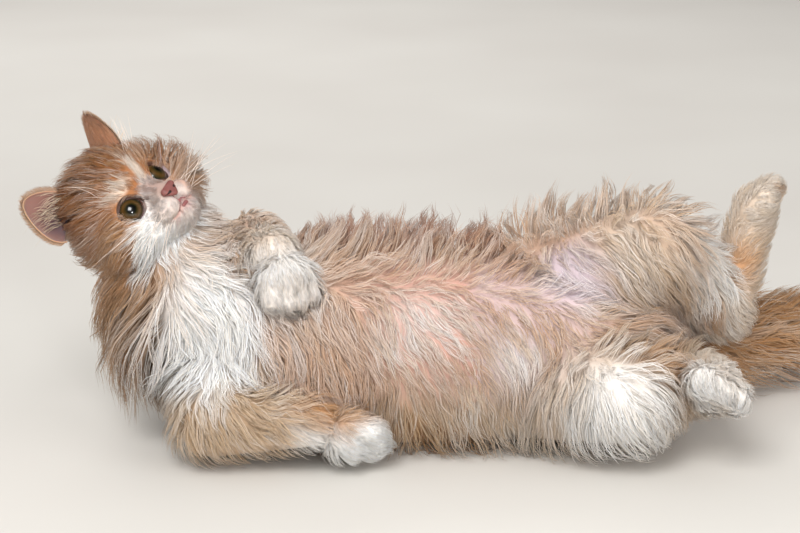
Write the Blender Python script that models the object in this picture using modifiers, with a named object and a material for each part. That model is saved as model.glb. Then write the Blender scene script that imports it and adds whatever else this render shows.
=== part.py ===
"""A Persian kitten at life size, lying on its back with its head raised and its hind legs in the air.

+X runs from the head to the tail, the belly is turned up and towards -Y, and the floor is the plane Z = 0.
Places and sizes are written in millimetres and made metres by mm() and MM. Every form is a ball of flesh, or
the hull of two, with a coat over it. The kitten's right side is the near one, at -Y, and its left side is the
far one.
"""

import collections
import math
import random

import bmesh
import bpy
from mathutils import Matrix, Vector
from mathutils.bvhtree import BVHTree

MM = 0.001
GAP = 0.3 * MM  # air between two touching pieces
CORE_SHARE = 0.5  # how much of the coat's depth the smooth core fills
FLOOR_CLEARANCE = 0.4 * MM
TOUCHING = 0.002 * MM
DRAWN_BACK = 0.02 * MM


def mm(x, y, z):
    """A point or a size given in millimetres, as metres."""
    return Vector((x, y, z)) * MM


# How the body lies: the belly is rolled this far up from level, and turned to -Y.
BELLY_LIFT = math.radians(35)
REAR = Vector((1, 0, 0))
BELLY = Vector((0, -math.cos(BELLY_LIFT), math.sin(BELLY_LIFT)))
LEFT = Vector((0, math.sin(BELLY_LIFT), math.cos(BELLY_LIFT)))
DOWN = Vector((0, 0, -1))
BODY_AXES = (REAR, LEFT, BELLY)

# How the head lies: where its middle is, where the face looks and where the crown points.
SKULL = mm(-174, 0, 153.5)
FACE = Vector((0.39, -0.62, 0.68)).normalized()
CROWN = (Vector((-0.84, 0.07, 0.54)) - FACE * FACE.dot(Vector((-0.84, 0.07, 0.54)))).normalized()
CHEEK = FACE.cross(CROWN)  # towards the kitten's right ear
HEAD_AXES = (CHEEK, FACE, CROWN)

# The trunk along its length: place along X, height, half width, half depth, coat.
TRUNK = {
    "rump": (140, 52, 38, 37, 23),
    "pelvis": (112, 57, 47, 46, 25),
    "loin": (60, 58, 49, 48, 27),
    "belly": (2, 60, 53, 51, 27),
    "rib": (-50, 61, 51, 51, 26),
    "breast": (-94, 68, 45, 47, 26),
    "withers": (-130, 84, 38, 39, 25),
}
TRUNK_SPLIT = -40 * MM  # the chest ends and the abdomen begins here
TRUNK_SIDES = {"chest": -1, "abdomen": 1}
TRUNK_ALONG = 0.72  # a trunk ball's half length, as a share of its half width

# The joints of the neck, legs and tail: place, radius of the flesh, coat.
JOINTS = {
    "nape": ((-138, 4, 98), 31, 22),
    "throat": ((-153, 5, 122), 25, 17),
    "shoulder_right": ((-110, -26, 54), 24, 20),
    "elbow_right": ((-118, -58, 28), 16, 14),
    "wrist_right": ((-54, -70, 32), 11.5, 7),
    "knuckle_right": ((-31, -73, 25), 12, 5),
    "shoulder_left": ((-110, 18, 102), 22, 16),
    "elbow_left": ((-95, 27, 123), 14, 10),
    "wrist_left": ((-79, -34, 130), 11.5, 7),
    "knuckle_left": ((-71, -50, 120), 12, 5),
    "hip_left": ((98, 16, 86), 35, 22),
    "knee_left": ((162, -4, 125), 20, 20),
    "hock_left": ((216, 27, 71), 11, 9),
    "ball_left": ((235, 46, 140), 11, 6),
    "hip_right": ((98, -16, 44), 33, 20),
    "knee_right": ((140, -66, 46), 20, 18),
    "hock_right": ((188, -14, 40), 11.5, 10),
    "ball_right": ((195, -76, 58), 11, 6),
    "dock": ((146, 22, 44), 12, 18),
    "tail_first": ((192, 52, 35), 8.5, 24),
    "tail_second": ((246, 86, 33), 7.5, 26),
    "tail_tip": ((300, 106, 31), 5.5, 24),
}

# The pieces that run from one joint to the next: where each starts and ends, and how finely it is made.
LENGTHS = {
    "neck": ("nape", "throat", "neck"),
    "thigh_right": ("hip_right", "knee_right", "limb"),
    "thigh_left": ("hip_left", "knee_left", "limb"),
    "shank_right": ("knee_right", "hock_right", "limb"),
    "shank_left": ("knee_left", "hock_left", "limb"),
    "hind_foot_right": ("hock_right", "ball_right", "limb"),
    "hind_foot_left": ("hock_left", "ball_left", "limb"),
    "upper_arm_right": ("shoulder_right", "elbow_right", "limb"),
    "upper_arm_left": ("shoulder_left", "elbow_left", "limb"),
    "forearm_right": ("elbow_right", "wrist_right", "limb"),
    "forearm_left": ("elbow_left", "wrist_left", "limb"),
    "tail_root": ("dock", "tail_first", "tail"),
    "tail_middle": ("tail_first", "tail_second", "tail"),
    "tail_end": ("tail_second", "tail_tip", "tail"),
}

# Each paw: the knuckle joint it grows from, the way its toes point, the way across it, toe length and radius.
PAWS = {
    "paw_fore_right": ("knuckle_right", (0.96, -0.12, -0.16), (0.05, 0.62, -0.78), 13, 6.6),
    "paw_fore_left": ("knuckle_left", (0.28, -0.50, -0.82), (0.86, 0.50, 0.0), 12, 6.2),
    "paw_hind_left": ("ball_left", (0.58, -0.22, 0.78), (0.30, 0.92, 0.05), 13, 6.4),
    "paw_hind_right": ("ball_right", (0.05, -0.96, 0.24), (0.82, 0.10, -0.50), 12, 6.8),
}
ROOT_SHARE = 0.8  # how large a limb's first ball is, beside the same ball at the end of the piece before it
TOE_COUNT = 4
TOE_SPREAD = 1.45  # gap between toe middles, as a share of a toe's radius

# The head's balls in its own frame, across, forward and up: middle, half sizes, coat.
HEAD = {
    "cranium": ((0, -5, 5), (32, 33, 28), 11),
    "brow": ((0, 11, 11), (23, 16, 16), 6),
    "cheek": ((20, 6, -13), (15, 17, 15), 12),
    "jaw": ((11, 15, -23), (11, 13, 9), 7),
    "bridge": ((0, 24, -7), (8, 8, 8), 3),
    "nose_root": ((0, 33, -14), (6.5, 6.5, 6.5), 2),
    "muzzle": ((7.5, 31, -23), (8.5, 8.5, 7.5), 2),
    "chin": ((0, 28, -33), (8, 8, 6.5), 3),
}
EYE = (15.2, 17.2, -4.5)
EYE_RADIUS = 9.4 * MM
EYE_LOOK = (0.33, 0.93, 0.10)
LID_THICKNESS = 1.7 * MM
LID_OPENING = 7.9 * MM
NOSE_CORNERS = {"wing": ((4.0, 39.5, -15.6), 2.5), "point": ((0, 40.4, -20.6), 2.0)}
NOSTRIL = ((2.9, 43.4, -18.0), (5.6, 41.4, -19.6), 1.0)
MOUTH_WIDTH = 12 * MM
MOUTH_GROOVE = 0.9 * MM
LIP_MIDDLE = (0, 38.8, -26.7)

EAR_BASE = (31, -4, 25)
EAR_TIP = (41.5, 1, 55)
EAR_WIDTH = 35 * MM
EAR_THICKNESS = 1.8 * MM
EAR_TURNS = {"right": 20, "left": 100}  # degrees that each ear's opening is turned: the far one is swung back

# The locks of each node: how many, length, width and thickness in millimetres, and how far the tips stand out.
# The way they lie is a sum of four: down the piece, away from the belly's middle line, away from the nose, and
# down.
Lie = collections.namedtuple("Lie", "along outwards from_nose hang")
Locks = collections.namedtuple("Locks", "count length width thickness stand lie")
LOCKS = {
    "abdomen": Locks(84, 47, 16.5, 3.4, 15, Lie(0.7, 0.7, 0, 0.6)),
    "chest": Locks(64, 45, 16, 3.4, 14, Lie(0.5, 0.7, 0, 0.9)),
    "neck": Locks(50, 38, 15, 3.4, 11, Lie(0.6, 0.1, 0.4, 0.8)),
    "head": Locks(28, 27, 13, 2.6, 7, Lie(0, 0, 1.0, 0.15)),
    "thigh": Locks(20, 44, 16, 3.4, 11, Lie(0.5, 0, 0, 0.9)),
    "shank": Locks(12, 34, 14, 3.0, 9, Lie(0.7, 0, 0, 0.8)),
    "hind_foot": Locks(8, 25, 11, 2.4, 6, Lie(0.8, 0, 0, 0.5)),
    "upper_arm": Locks(12, 34, 15, 3.0, 9, Lie(0.5, 0, 0, 0.9)),
    "forearm": Locks(10, 27, 12, 2.6, 6, Lie(0.9, 0, 0, 0.5)),
    "tail_root": Locks(11, 46, 16, 3.2, 13, Lie(1.0, 0, 0, 0.1)),
    "tail_middle": Locks(13, 50, 16, 3.2, 15, Lie(1.0, 0, 0, 0.1)),
    "tail_end": Locks(11, 52, 15, 3.2, 15, Lie(1.0, 0, 0, 0.0)),
}
COAT_SEED = 7
PROBE = Vector((0.31, 0.52, 0.79)).normalized()
LOCK_ROOT_DEPTH = 3.2 * MM
LOCK_LEAST_HEIGHT = 3.0 * MM  # above the floor, at a lock's middle
FLOOR_BAND = 30 * MM  # below this height the coat is pressed flat and spreads out on the floor
FLOOR_SPLAY = 20 * MM
FACE_REACH = 44 * MM  # round the nose the coat is too short for locks
LOCK_LEAST_SECTION = 4 * MM * MM  # twice the area of the thinnest slice through a lock
LOCK_PROFILE = (0.72, 1.0, 0.86, 0.46)  # width along a lock, before its tip

# How finely each node's skin is made: voxel size in millimetres, rounds of smoothing, triangles kept.
SKIN = {
    "trunk": (3.5, 10, 520),
    "neck": (3.0, 6, 110),
    "head": (1.5, 3, 1300),
    "limb": (2.2, 5, 130),
    "paw": (1.3, 3, 260),
    "tail": (2.5, 4, 90),
    "nose": (0.6, 2, 150),
}

# The colour and the roughness of each finish, and the nodes that aren't white.
FINISHES = {
    "white_coat": ((0.80, 0.70, 0.60), 0.80),
    "cream_coat": ((0.62, 0.44, 0.28), 0.80),
    "ear": ((0.50, 0.32, 0.27), 0.65),
    "eye": ((0.10, 0.06, 0.02), 0.08),
    "nose_leather": ((0.55, 0.24, 0.22), 0.40),
}
FINISH_OF = {
    "head": "cream_coat",
    "ear_right": "ear",
    "ear_left": "ear",
    "eye_right": "eye",
    "eye_left": "eye",
    "nose": "nose_leather",
    "tail_root": "cream_coat",
    "tail_middle": "cream_coat",
    "tail_end": "cream_coat",
}

Ball = collections.namedtuple("Ball", "middle sizes axes coat")


def in_head(across, forward, up):
    """A place given in the head's own frame, in millimetres."""
    return SKULL + (CHEEK * across + FACE * forward + CROWN * up) * MM


NOSE_TIP = in_head(*NOSE_CORNERS["point"][0])


def mirrored(place, side):
    """A head place moved to one side: 1 is the kitten's right and -1 its left."""
    return (place[0] * side, place[1], place[2])


def trunk_ball(name):
    along, height, half_width, half_depth, coat = TRUNK[name]
    sizes = mm(half_width * TRUNK_ALONG, half_width, half_depth)
    return Ball(mm(along, 0, height), sizes, BODY_AXES, coat * MM)


def joint_ball(name, share=1.0):
    """The ball at a joint, or a smaller one that sinks into the piece before it."""
    place, radius, coat = JOINTS[name]
    return Ball(mm(*place), mm(radius, radius, radius) * share, BODY_AXES, coat * share * MM)


def head_ball(name, side=1):
    place, sizes, coat = HEAD[name]
    return Ball(in_head(*mirrored(place, side)), mm(*sizes), HEAD_AXES, coat * MM)


def round_ball(middle, radius, coat=0.0):
    return Ball(middle, Vector((radius,) * 3), BODY_AXES, coat)


def new_object(name, bm, helpers=False):
    """An object from a bmesh, in the kitten's collection or, hidden, among the helpers."""
    mesh = bpy.data.meshes.new(name)
    bm.to_mesh(mesh)
    bm.free()
    obj = bpy.data.objects.new(name, mesh)
    bpy.data.collections["helpers" if helpers else "persian_kitten"].objects.link(obj)
    if helpers:
        obj.hide_render = True
        obj.display_type = "WIRE"
    return obj


def sphere_points(detail=3):
    """The points of a round ball of radius 1."""
    bm = bmesh.new()
    bmesh.ops.create_icosphere(bm, subdivisions=detail, radius=1.0)
    points = [vert.co.copy() for vert in bm.verts]
    bm.free()
    return points


UNIT_BALL = sphere_points()


def ball_points(ball, share):
    """The points of one ellipsoid with this share of its coat."""
    grown = [size + ball.coat * share for size in ball.sizes]
    turn = Matrix([axis * size for axis, size in zip(ball.axes, grown)]).transposed()
    return [ball.middle + turn @ point for point in UNIT_BALL]


def add_hull(bm, balls, share):
    """The hull of several balls, as one closed form in the mesh."""
    verts = [bm.verts.new(point) for ball in balls for point in ball_points(ball, share)]
    hull = bmesh.ops.convex_hull(bm, input=verts)
    inside = {e for e in hull["geom_interior"] + hull["geom_unused"] if isinstance(e, bmesh.types.BMVert)}
    bmesh.ops.delete(bm, geom=list(inside), context="VERTS")


def evaluated_copy(obj):
    """The object's mesh with its modifiers worked in, kept on the same object."""
    graph = bpy.context.evaluated_depsgraph_get()
    mesh = bpy.data.meshes.new_from_object(obj.evaluated_get(graph))
    obj.modifiers.clear()
    old = obj.data
    obj.data = mesh
    bpy.data.meshes.remove(old)
    return obj


def triangulate(obj):
    bm = bmesh.new()
    bm.from_mesh(obj.data)
    bmesh.ops.triangulate(bm, faces=bm.faces)
    bm.to_mesh(obj.data)
    bm.free()


def skinned(obj, kind):
    """Joins the forms in a mesh into one smooth closed skin with about the wanted number of triangles."""
    voxel, rounds, triangles = SKIN[kind]
    remesh = obj.modifiers.new("one_skin", "REMESH")
    remesh.mode = "VOXEL"
    remesh.voxel_size = voxel * MM
    smooth = obj.modifiers.new("soft", "SMOOTH")
    smooth.factor = 0.5
    smooth.iterations = rounds
    evaluated_copy(obj)
    triangulate(obj)
    fewer = obj.modifiers.new("fewer", "DECIMATE")
    fewer.ratio = min(1.0, triangles / len(obj.data.polygons))
    evaluated_copy(obj)
    return obj


def skin_of(name, hulls, kind, share=CORE_SHARE):
    bm = bmesh.new()
    for balls in hulls:
        add_hull(bm, balls, share)
    return skinned(new_object(name, bm), kind)


def boolean(obj, other, operation):
    modifier = obj.modifiers.new(operation.lower(), "BOOLEAN")
    modifier.operation = operation
    modifier.solver = "MANIFOLD"
    modifier.object = other
    evaluated_copy(obj)
    keep_largest(obj)


def keep_largest(obj):
    """Keeps the largest closed surface, and drops every loose scrap and sealed hollow."""
    bm = bmesh.new()
    bm.from_mesh(obj.data)
    seen, pieces = set(), []
    for start in bm.faces:
        if start in seen:
            continue
        piece, front = [], [start]
        seen.add(start)
        while front:
            face = front.pop()
            piece.append(face)
            for other in [other for edge in face.edges for other in edge.link_faces]:
                if other not in seen:
                    seen.add(other)
                    front.append(other)
        pieces.append(piece)
    pieces.sort(key=signed_volume)
    bmesh.ops.delete(bm, geom=[face for piece in pieces[:-1] for face in piece], context="FACES")
    bm.to_mesh(obj.data)
    bm.free()


def signed_volume(faces):
    """Six times the volume that some closed triangles or quads hold, negative for a hollow."""
    volume = 0.0
    for face in faces:
        first, *rest = [vert.co for vert in face.verts]
        volume += sum(first.dot(a.cross(b)) for a, b in zip(rest, rest[1:]))
    return volume


def part_touching(obj):
    """Draws back the corners at which a surface touches itself, which leaves a hair of air between them."""
    places = collections.defaultdict(list)
    for vert in obj.data.vertices:
        places[tuple(round(value / TOUCHING) for value in vert.co)].append(vert.index)
    shared = [index for same in places.values() if len(same) > 1 for index in same]
    moves = {index: obj.data.vertices[index].normal * DRAWN_BACK for index in shared}
    for index, move in moves.items():
        obj.data.vertices[index].co -= move


def grown_copy(obj, distance):
    """A hidden copy of an object whose surface stands out this far."""
    bm = bmesh.new()
    bm.from_mesh(obj.data)
    bm.normal_update()
    moves = [vert.normal * distance for vert in bm.verts]
    for vert, move in zip(bm.verts, moves):
        vert.co += move
    return new_object(obj.name + "_grown", bm, helpers=True)


def boxes_meet(first, second, margin):
    """True if the boxes around two objects come within a margin of each other."""
    spans = []
    for obj in (first, second):
        places = [vert.co for vert in obj.data.vertices]
        low = [min(place[axis] for place in places) for axis in range(3)]
        high = [max(place[axis] for place in places) for axis in range(3)]
        spans.append((low, high))
    (low_a, high_a), (low_b, high_b) = spans
    return all(low_a[i] - margin < high_b[i] and low_b[i] - margin < high_a[i] for i in range(3))


def cut_clear(obj, earlier):
    """Cuts an object clear of the ones made before it, so that they meet face to face with the gap."""
    for other in earlier:
        if not boxes_meet(obj, other, GAP):
            continue
        cutter = grown_copy(other, GAP)
        boolean(obj, cutter, "DIFFERENCE")
        bpy.data.objects.remove(cutter)


def cut_flat(obj, place, normal):
    """Keeps what lies on the normal's side of a plane, and closes the cut with a flat face."""
    bm = bmesh.new()
    bm.from_mesh(obj.data)
    every = list(bm.verts) + list(bm.edges) + list(bm.faces)
    bmesh.ops.bisect_plane(
        bm, geom=every, dist=0.001 * MM, plane_co=place, plane_no=normal, clear_inner=True
    )
    rim = [edge for edge in bm.edges if edge.is_boundary]
    bmesh.ops.holes_fill(bm, edges=rim)
    bmesh.ops.triangulate(bm, faces=bm.faces)
    bm.to_mesh(obj.data)
    bm.free()
    return obj


def painted(obj, colour, roughness):
    """Gives an object a finish of its own."""
    material = bpy.data.materials.new(obj.name)
    material.use_nodes = True
    shader = material.node_tree.nodes["Principled BSDF"]
    shader.inputs["Base Color"].default_value = (*colour, 1)
    shader.inputs["Roughness"].default_value = roughness
    shader.inputs["Metallic"].default_value = 0.0
    obj.data.materials.clear()
    obj.data.materials.append(material)


def set_down(obj, whole):
    """Puts an object's origin in its middle and hangs it on the whole kitten."""
    places = [vert.co for vert in obj.data.vertices]
    middle = sum(places, Vector()) / len(places)
    obj.data.transform(Matrix.Translation(-middle))
    obj.location = middle
    obj.parent = whole


def trunk_half(name, side):
    """The trunk on one side of its split: the chest towards the head, the abdomen towards the tail."""
    names = list(TRUNK)
    pairs = [[trunk_ball(a), trunk_ball(b)] for a, b in zip(names, names[1:])]
    trunk = skin_of(name, pairs, "trunk")
    return cut_flat(trunk, (TRUNK_SPLIT + side * GAP / 2, 0, 0), REAR * side)


def length_part(name):
    """The neck, or one length of a limb or the tail, which starts inside the piece that it grows from."""
    near, far, kind = LENGTHS[name]
    return skin_of(name, [[joint_ball(near, ROOT_SHARE), joint_ball(far)]], kind)


def down_the_piece(name):
    """The way that a piece runs, from the head to the tail or from the body to the toes."""
    if name not in LENGTHS:
        return REAR
    near, far, _ = LENGTHS[name]
    way = (mm(*JOINTS[far][0]) - mm(*JOINTS[near][0])).normalized()
    return -way if name == "neck" else way


def paw_part(name):
    """A paw: its ball, and a fan of short round toes."""
    joint, forward, across, length, radius = PAWS[name]
    ball = joint_ball(joint, ROOT_SHARE)
    forward = Vector(forward).normalized()
    across = (Vector(across) - forward * forward.dot(Vector(across))).normalized()
    hulls = [[ball]]
    for toe in range(TOE_COUNT):
        offset = (toe - (TOE_COUNT - 1) / 2) * radius * TOE_SPREAD * MM
        reach = length * (1.0 if toe in (0, TOE_COUNT - 1) else 1.22) * MM
        root = ball.middle + across * offset * 0.8
        tip = ball.middle + across * offset + forward * reach
        toe_tip = round_ball(tip, radius * MM * 0.92, ball.coat * 0.6)
        hulls.append([round_ball(root, radius * MM, ball.coat), toe_tip])
    return skin_of(name, hulls, "paw")


def head_part():
    """The skull with its cheeks, muzzle, chin and the swelling of each lid."""
    hulls = [[head_ball("cranium"), head_ball("brow")], [head_ball("bridge"), head_ball("nose_root")]]
    hulls += [[head_ball("chin"), head_ball("jaw"), head_ball("jaw", -1)]]
    for side in (1, -1):
        hulls += [[head_ball("cheek", side), head_ball("jaw", side)], [head_ball("muzzle", side)]]
        hulls += [[round_ball(in_head(*mirrored(EYE, side)), EYE_RADIUS + LID_THICKNESS)]]
        hulls += [[head_ball("brow"), head_ball("cheek", side)]]
    return skin_of("head", hulls, "head")


def eye_frame(side):
    """The middle of an eye and the way it looks."""
    look = CHEEK * EYE_LOOK[0] * side + FACE * EYE_LOOK[1] + CROWN * EYE_LOOK[2]
    return in_head(*mirrored(EYE, side)), look.normalized()


def eye_part(name, side):
    middle, look = eye_frame(side)
    bm = bmesh.new()
    turn = Matrix.Translation(middle) @ look.to_track_quat("Z", "Y").to_matrix().to_4x4()
    bmesh.ops.create_uvsphere(bm, u_segments=14, v_segments=8, radius=EYE_RADIUS, matrix=turn)
    return new_object(name, bm)


def open_lids(head, side):
    """Cuts the eye's seat in the head, and the round opening between the lids."""
    middle, look = eye_frame(side)
    bm = bmesh.new()
    turn = Matrix.Translation(middle) @ look.to_track_quat("Z", "Y").to_matrix().to_4x4()
    bmesh.ops.create_uvsphere(bm, u_segments=14, v_segments=10, radius=EYE_RADIUS + GAP * 2, matrix=turn)
    seat = new_object("eye_seat", bm, helpers=True)
    bm = bmesh.new()
    reach = EYE_RADIUS * 1.6
    turned = look.to_track_quat("Z", "Y").to_matrix().to_4x4()
    ahead = Matrix.Translation(middle + look * reach * 0.75) @ turned
    inner, outer = LID_OPENING * 0.7, LID_OPENING * 1.25
    bmesh.ops.create_cone(
        bm, cap_ends=True, segments=14, radius1=inner, radius2=outer, depth=reach, matrix=ahead
    )
    opening = new_object("lid_opening", bm, helpers=True)
    for cutter in (opening, seat):
        boolean(head, cutter, "DIFFERENCE")
        bpy.data.objects.remove(cutter)


def nose_part():
    """The nose leather: a small three-cornered pad with two comma-shaped nostrils."""
    wing, wing_radius = NOSE_CORNERS["wing"]
    point, point_radius = NOSE_CORNERS["point"]
    corners = [round_ball(in_head(*mirrored(wing, side)), wing_radius * MM) for side in (1, -1)]
    corners.append(round_ball(in_head(*point), point_radius * MM))
    nose = skin_of("nose", [corners], "nose")
    inner, outer, radius = NOSTRIL
    for side in (1, -1):
        bm = bmesh.new()
        ends = [round_ball(in_head(*mirrored(place, side)), radius * MM) for place in (inner, outer)]
        add_hull(bm, ends, 0)
        nostril = new_object("nostril", bm, helpers=True)
        boolean(nose, nostril, "DIFFERENCE")
        bpy.data.objects.remove(nostril)
    return nose


def mouth_groove(head):
    """Cuts the line of the mouth: down from the nose, then out under each half of the muzzle."""
    surface = BVHTree.FromObject(head, bpy.context.evaluated_depsgraph_get())
    below_nose = in_head(0, 42, -21)
    middle = in_head(*LIP_MIDDLE)
    paths = [[below_nose, below_nose.lerp(middle, 0.5), middle]]
    for side in (1, -1):
        corner = middle + (CHEEK * side - FACE * 0.45 - CROWN * 0.22) * MOUTH_WIDTH
        paths.append([middle, middle.lerp(corner, 0.5) - CROWN * MOUTH_WIDTH * 0.12, corner])
    bm = bmesh.new()
    for path in paths:
        on_skin = [surface.find_nearest(place)[0] for place in path]
        for start, end in zip(on_skin, on_skin[1:]):
            add_hull(bm, [round_ball(start, MOUTH_GROOVE), round_ball(end, MOUTH_GROOVE)], 0)
    groove = new_object("mouth_groove", bm, helpers=True)
    remesh = groove.modifiers.new("one_skin", "REMESH")
    remesh.mode = "VOXEL"
    remesh.voxel_size = 0.5 * MM
    evaluated_copy(groove)
    triangulate(groove)
    fewer = groove.modifiers.new("fewer", "DECIMATE")
    fewer.ratio = min(1.0, 200 / len(groove.data.polygons))
    evaluated_copy(groove)
    boolean(head, groove, "DIFFERENCE")
    bpy.data.objects.remove(groove)


def ear_part(name, side, turn):
    """An ear: a thin cupped leaf, open to the front, rooted in the crown."""
    base, tip = in_head(*mirrored(EAR_BASE, side)), in_head(*mirrored(EAR_TIP, side))
    up = (tip - base).normalized()
    height = (tip - base).length
    across = (CHEEK * side * 0.86 + FACE * 0.30).normalized()
    across = (across - up * up.dot(across)).normalized()
    across = Matrix.Rotation(-side * math.radians(turn), 3, up) @ across
    back = across.cross(up) * side
    bm = bmesh.new()
    bmesh.ops.create_grid(bm, x_segments=7, y_segments=6, size=1.0)
    for vert in bm.verts:
        rise = (vert.co.y + 1) / 2
        half_width = EAR_WIDTH / 2 * math.sqrt(max(0.0, 1 - rise**2.6)) + 0.6 * MM
        bend = math.radians(88 - 40 * rise)
        radius = half_width / math.sin(bend)
        angle = vert.co.x * bend
        vert.co = (
            base
            + up * height * (rise * 1.04 - 0.04 - 0.10 * rise * abs(vert.co.x) ** 2)
            + across * radius * math.sin(angle)
            + back * radius * (math.cos(angle) - math.cos(bend)) * 0.62
        )
    bmesh.ops.recalc_face_normals(bm, faces=bm.faces)
    ear = new_object(name, bm)
    wall = ear.modifiers.new("wall", "SOLIDIFY")
    wall.thickness = EAR_THICKNESS
    wall.offset = 0
    evaluated_copy(ear)
    triangulate(ear)
    return ear


def points_on(obj, count, draw):
    """About this many places spread evenly over an object, each with its outward direction."""
    places = []
    faces = [(face.area, face.center.copy(), face.normal.copy()) for face in obj.data.polygons]
    picks = draw.choices(faces, weights=[face[0] for face in faces], k=count * 40)
    spacing = 0.66 * math.sqrt(sum(face[0] for face in faces) / count)
    for _, place, normal in picks:
        if place.z < FLOOR_BAND / 4 and normal.z < -0.5 or (place - NOSE_TIP).length < FACE_REACH:
            continue
        if all((place - other).length > spacing for other, _ in places):
            places.append((place, normal))
    return places[:count]


def lie_at(place, normal, along, lie):
    """The way the coat lies at a place, level with the skin there."""
    from_nose = (place - NOSE_TIP).normalized()
    way = along * lie.along - BELLY * lie.outwards + from_nose * lie.from_nose + DOWN * lie.hang
    way = way - normal * normal.dot(way)
    return way.normalized()


def lock_path(place, along, locks, long, surface, draw):
    """The middle line of a lock: it leaves the skin, follows the body and ends at the coat's full depth."""
    steps = len(LOCK_PROFILE)
    point, normal, _, _ = surface.find_nearest(place)
    length = locks.length * long * MM * draw.uniform(0.8, 1.15)
    stand = locks.stand * MM * draw.uniform(0.75, 1.2)
    sway = draw.uniform(-0.5, 0.5)
    path = []
    for step in range(steps + 1):
        share = step / steps
        height = -LOCK_ROOT_DEPTH + (stand + LOCK_ROOT_DEPTH) * math.sin(share * math.pi * 0.5) ** 1.15
        middle = point + normal * height
        low = max(0.0, 1 - middle.z / FLOOR_BAND)
        middle += Vector((normal.x, normal.y, 0)) * low * share * FLOOR_SPLAY
        middle.z = max(middle.z, LOCK_LEAST_HEIGHT)
        path.append((middle, normal.copy()))
        way = lie_at(point, normal, along, locks.lie)
        side = normal.cross(way)
        way = (way + side * sway * math.cos(share * math.pi * 1.3)).normalized()
        ahead = surface.find_nearest(point + way * length / steps)
        point, normal = ahead[0], normal.lerp(ahead[1], 0.7).normalized()
    return path


def lock_rings(path, locks, wide, floor):
    """The corners of a flat lock: two edges and a low ridge at each step of its path."""
    rings = []
    for step, share in enumerate(LOCK_PROFILE):
        middle, normal = path[step]
        way = (path[step + 1][0] - path[max(step - 1, 0)][0]).normalized()
        side = way.cross(normal).normalized()
        out = side.cross(way).normalized()
        half, thick = locks.width * wide * share * MM / 2, locks.thickness * MM * (1 - 0.18 * step)
        corners = [middle + side * half, middle + out * thick * 0.75, middle - side * half]
        for corner in corners:
            corner.z = max(corner.z, floor)
        rings.append((corners, way))
    return rings


def is_sound(rings, tip):
    """True if no step of a lock is pressed flat or folded back over the one before it."""
    for (corners, way), (ahead, _) in zip(rings, rings[1:] + [([tip] * 3, None)]):
        edge, ridge, other = corners
        if (ridge - other).cross(edge - other).dot(way) < LOCK_LEAST_SECTION:
            return False
        if any((far - near).dot(way) < 0.5 * MM for near, far in zip(corners, ahead)):
            return False
    return True


def lock_object(name, rings, tip):
    """One closed lock: its rings joined by triangles, and a point."""
    bm = bmesh.new()
    rows = [[bm.verts.new(corner) for corner in corners] for corners, _ in rings]
    end = bm.verts.new(tip)
    bm.faces.new(rows[0])
    for near, far in zip(rows, rows[1:]):
        for i, j in ((0, 1), (1, 2), (2, 0)):
            bm.faces.new((near[i], far[j], near[j]))
            bm.faces.new((near[i], far[i], far[j]))
    for i, j in ((0, 1), (1, 2), (2, 0)):
        bm.faces.new((rows[-1][i], end, rows[-1][j]))
    bmesh.ops.recalc_face_normals(bm, faces=bm.faces)
    return new_object(name, bm, helpers=True)


def tree_of(obj, distance=0.0):
    """A search tree of an object's surface, moved outwards by a distance."""
    normals = {vert.index: vert.normal.copy() for vert in obj.data.vertices}
    places = [vert.co + normals[vert.index] * distance for vert in obj.data.vertices]
    return BVHTree.FromPolygons(places, [face.vertices[:] for face in obj.data.polygons])


def crosses_itself(obj):
    """True if two faces of a mesh that share no corner meet."""
    tree = tree_of(obj)
    corners = [set(face.vertices) for face in obj.data.polygons]
    return any(not corners[a] & corners[b] for a, b in tree.overlap(tree))


def inside_any(place, trees):
    """True if a place is inside a closed surface, which a ray from it crosses an odd number of times."""
    for tree in trees:
        crossings, point = 0, place
        while point is not None:
            point = tree.ray_cast(point, PROBE)[0]
            if point is not None:
                crossings += 1
                point = point + PROBE * 0.001 * MM
        if crossings % 2:
            return True
    return False


def joined(name, objects):
    """One hidden object that holds several meshes."""
    bm = bmesh.new()
    for obj in objects:
        bm.from_mesh(obj.data)
    return new_object(name, bm, helpers=True)


def add_locks(obj, locks, along, everything, trees, draw):
    """Grows the locks of one node, each of them clear of every other node, and fuses them with it."""
    grove = bpy.data.collections.new("locks_of_" + obj.name)
    bpy.context.scene.collection.children.link(grove)
    others = [tree for name, tree in trees.items() if name != obj.name]
    for place, normal in points_on(obj, locks.count, draw):
        if inside_any(place + normal * LOCK_ROOT_DEPTH * 0.6, others):
            continue
        for wide, long in ((draw.uniform(0.85, 1.15), 1.0), (0.8, 0.8), (0.6, 0.6)):
            path = lock_path(place, along, locks, long, everything, draw)
            rings = lock_rings(path, locks, wide, FLOOR_CLEARANCE * draw.uniform(1, 4))
            if not is_sound(rings, path[-1][0]):
                continue
            lock = lock_object("lock", rings, path[-1][0])
            tree = tree_of(lock, GAP)
            blocked = crosses_itself(lock) or inside_any(path[-1][0], others)
            if not blocked and not any(tree.overlap(other) for other in others):
                grove.objects.link(lock)
                break
            bpy.data.objects.remove(lock)
    if grove.objects:
        union = obj.modifiers.new("locks", "BOOLEAN")
        union.operation = "UNION"
        union.solver = "MANIFOLD"
        union.operand_type = "COLLECTION"
        union.collection = grove
        evaluated_copy(obj)
        keep_largest(obj)
        trees[obj.name] = tree_of(obj, GAP)
    for lock in list(grove.objects):
        bpy.data.objects.remove(lock)
    bpy.data.collections.remove(grove)


def grow_coat(made):
    """Adds the locks of every node that carries them."""
    draw = random.Random(COAT_SEED)
    everything = tree_of(joined("whole_body", made))
    trees = {obj.name: tree_of(obj, GAP) for obj in made}
    for obj in made:
        kind = obj.name.replace("_right", "").replace("_left", "")
        if kind in LOCKS:
            add_locks(obj, LOCKS[kind], down_the_piece(obj.name), everything, trees, draw)


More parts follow.
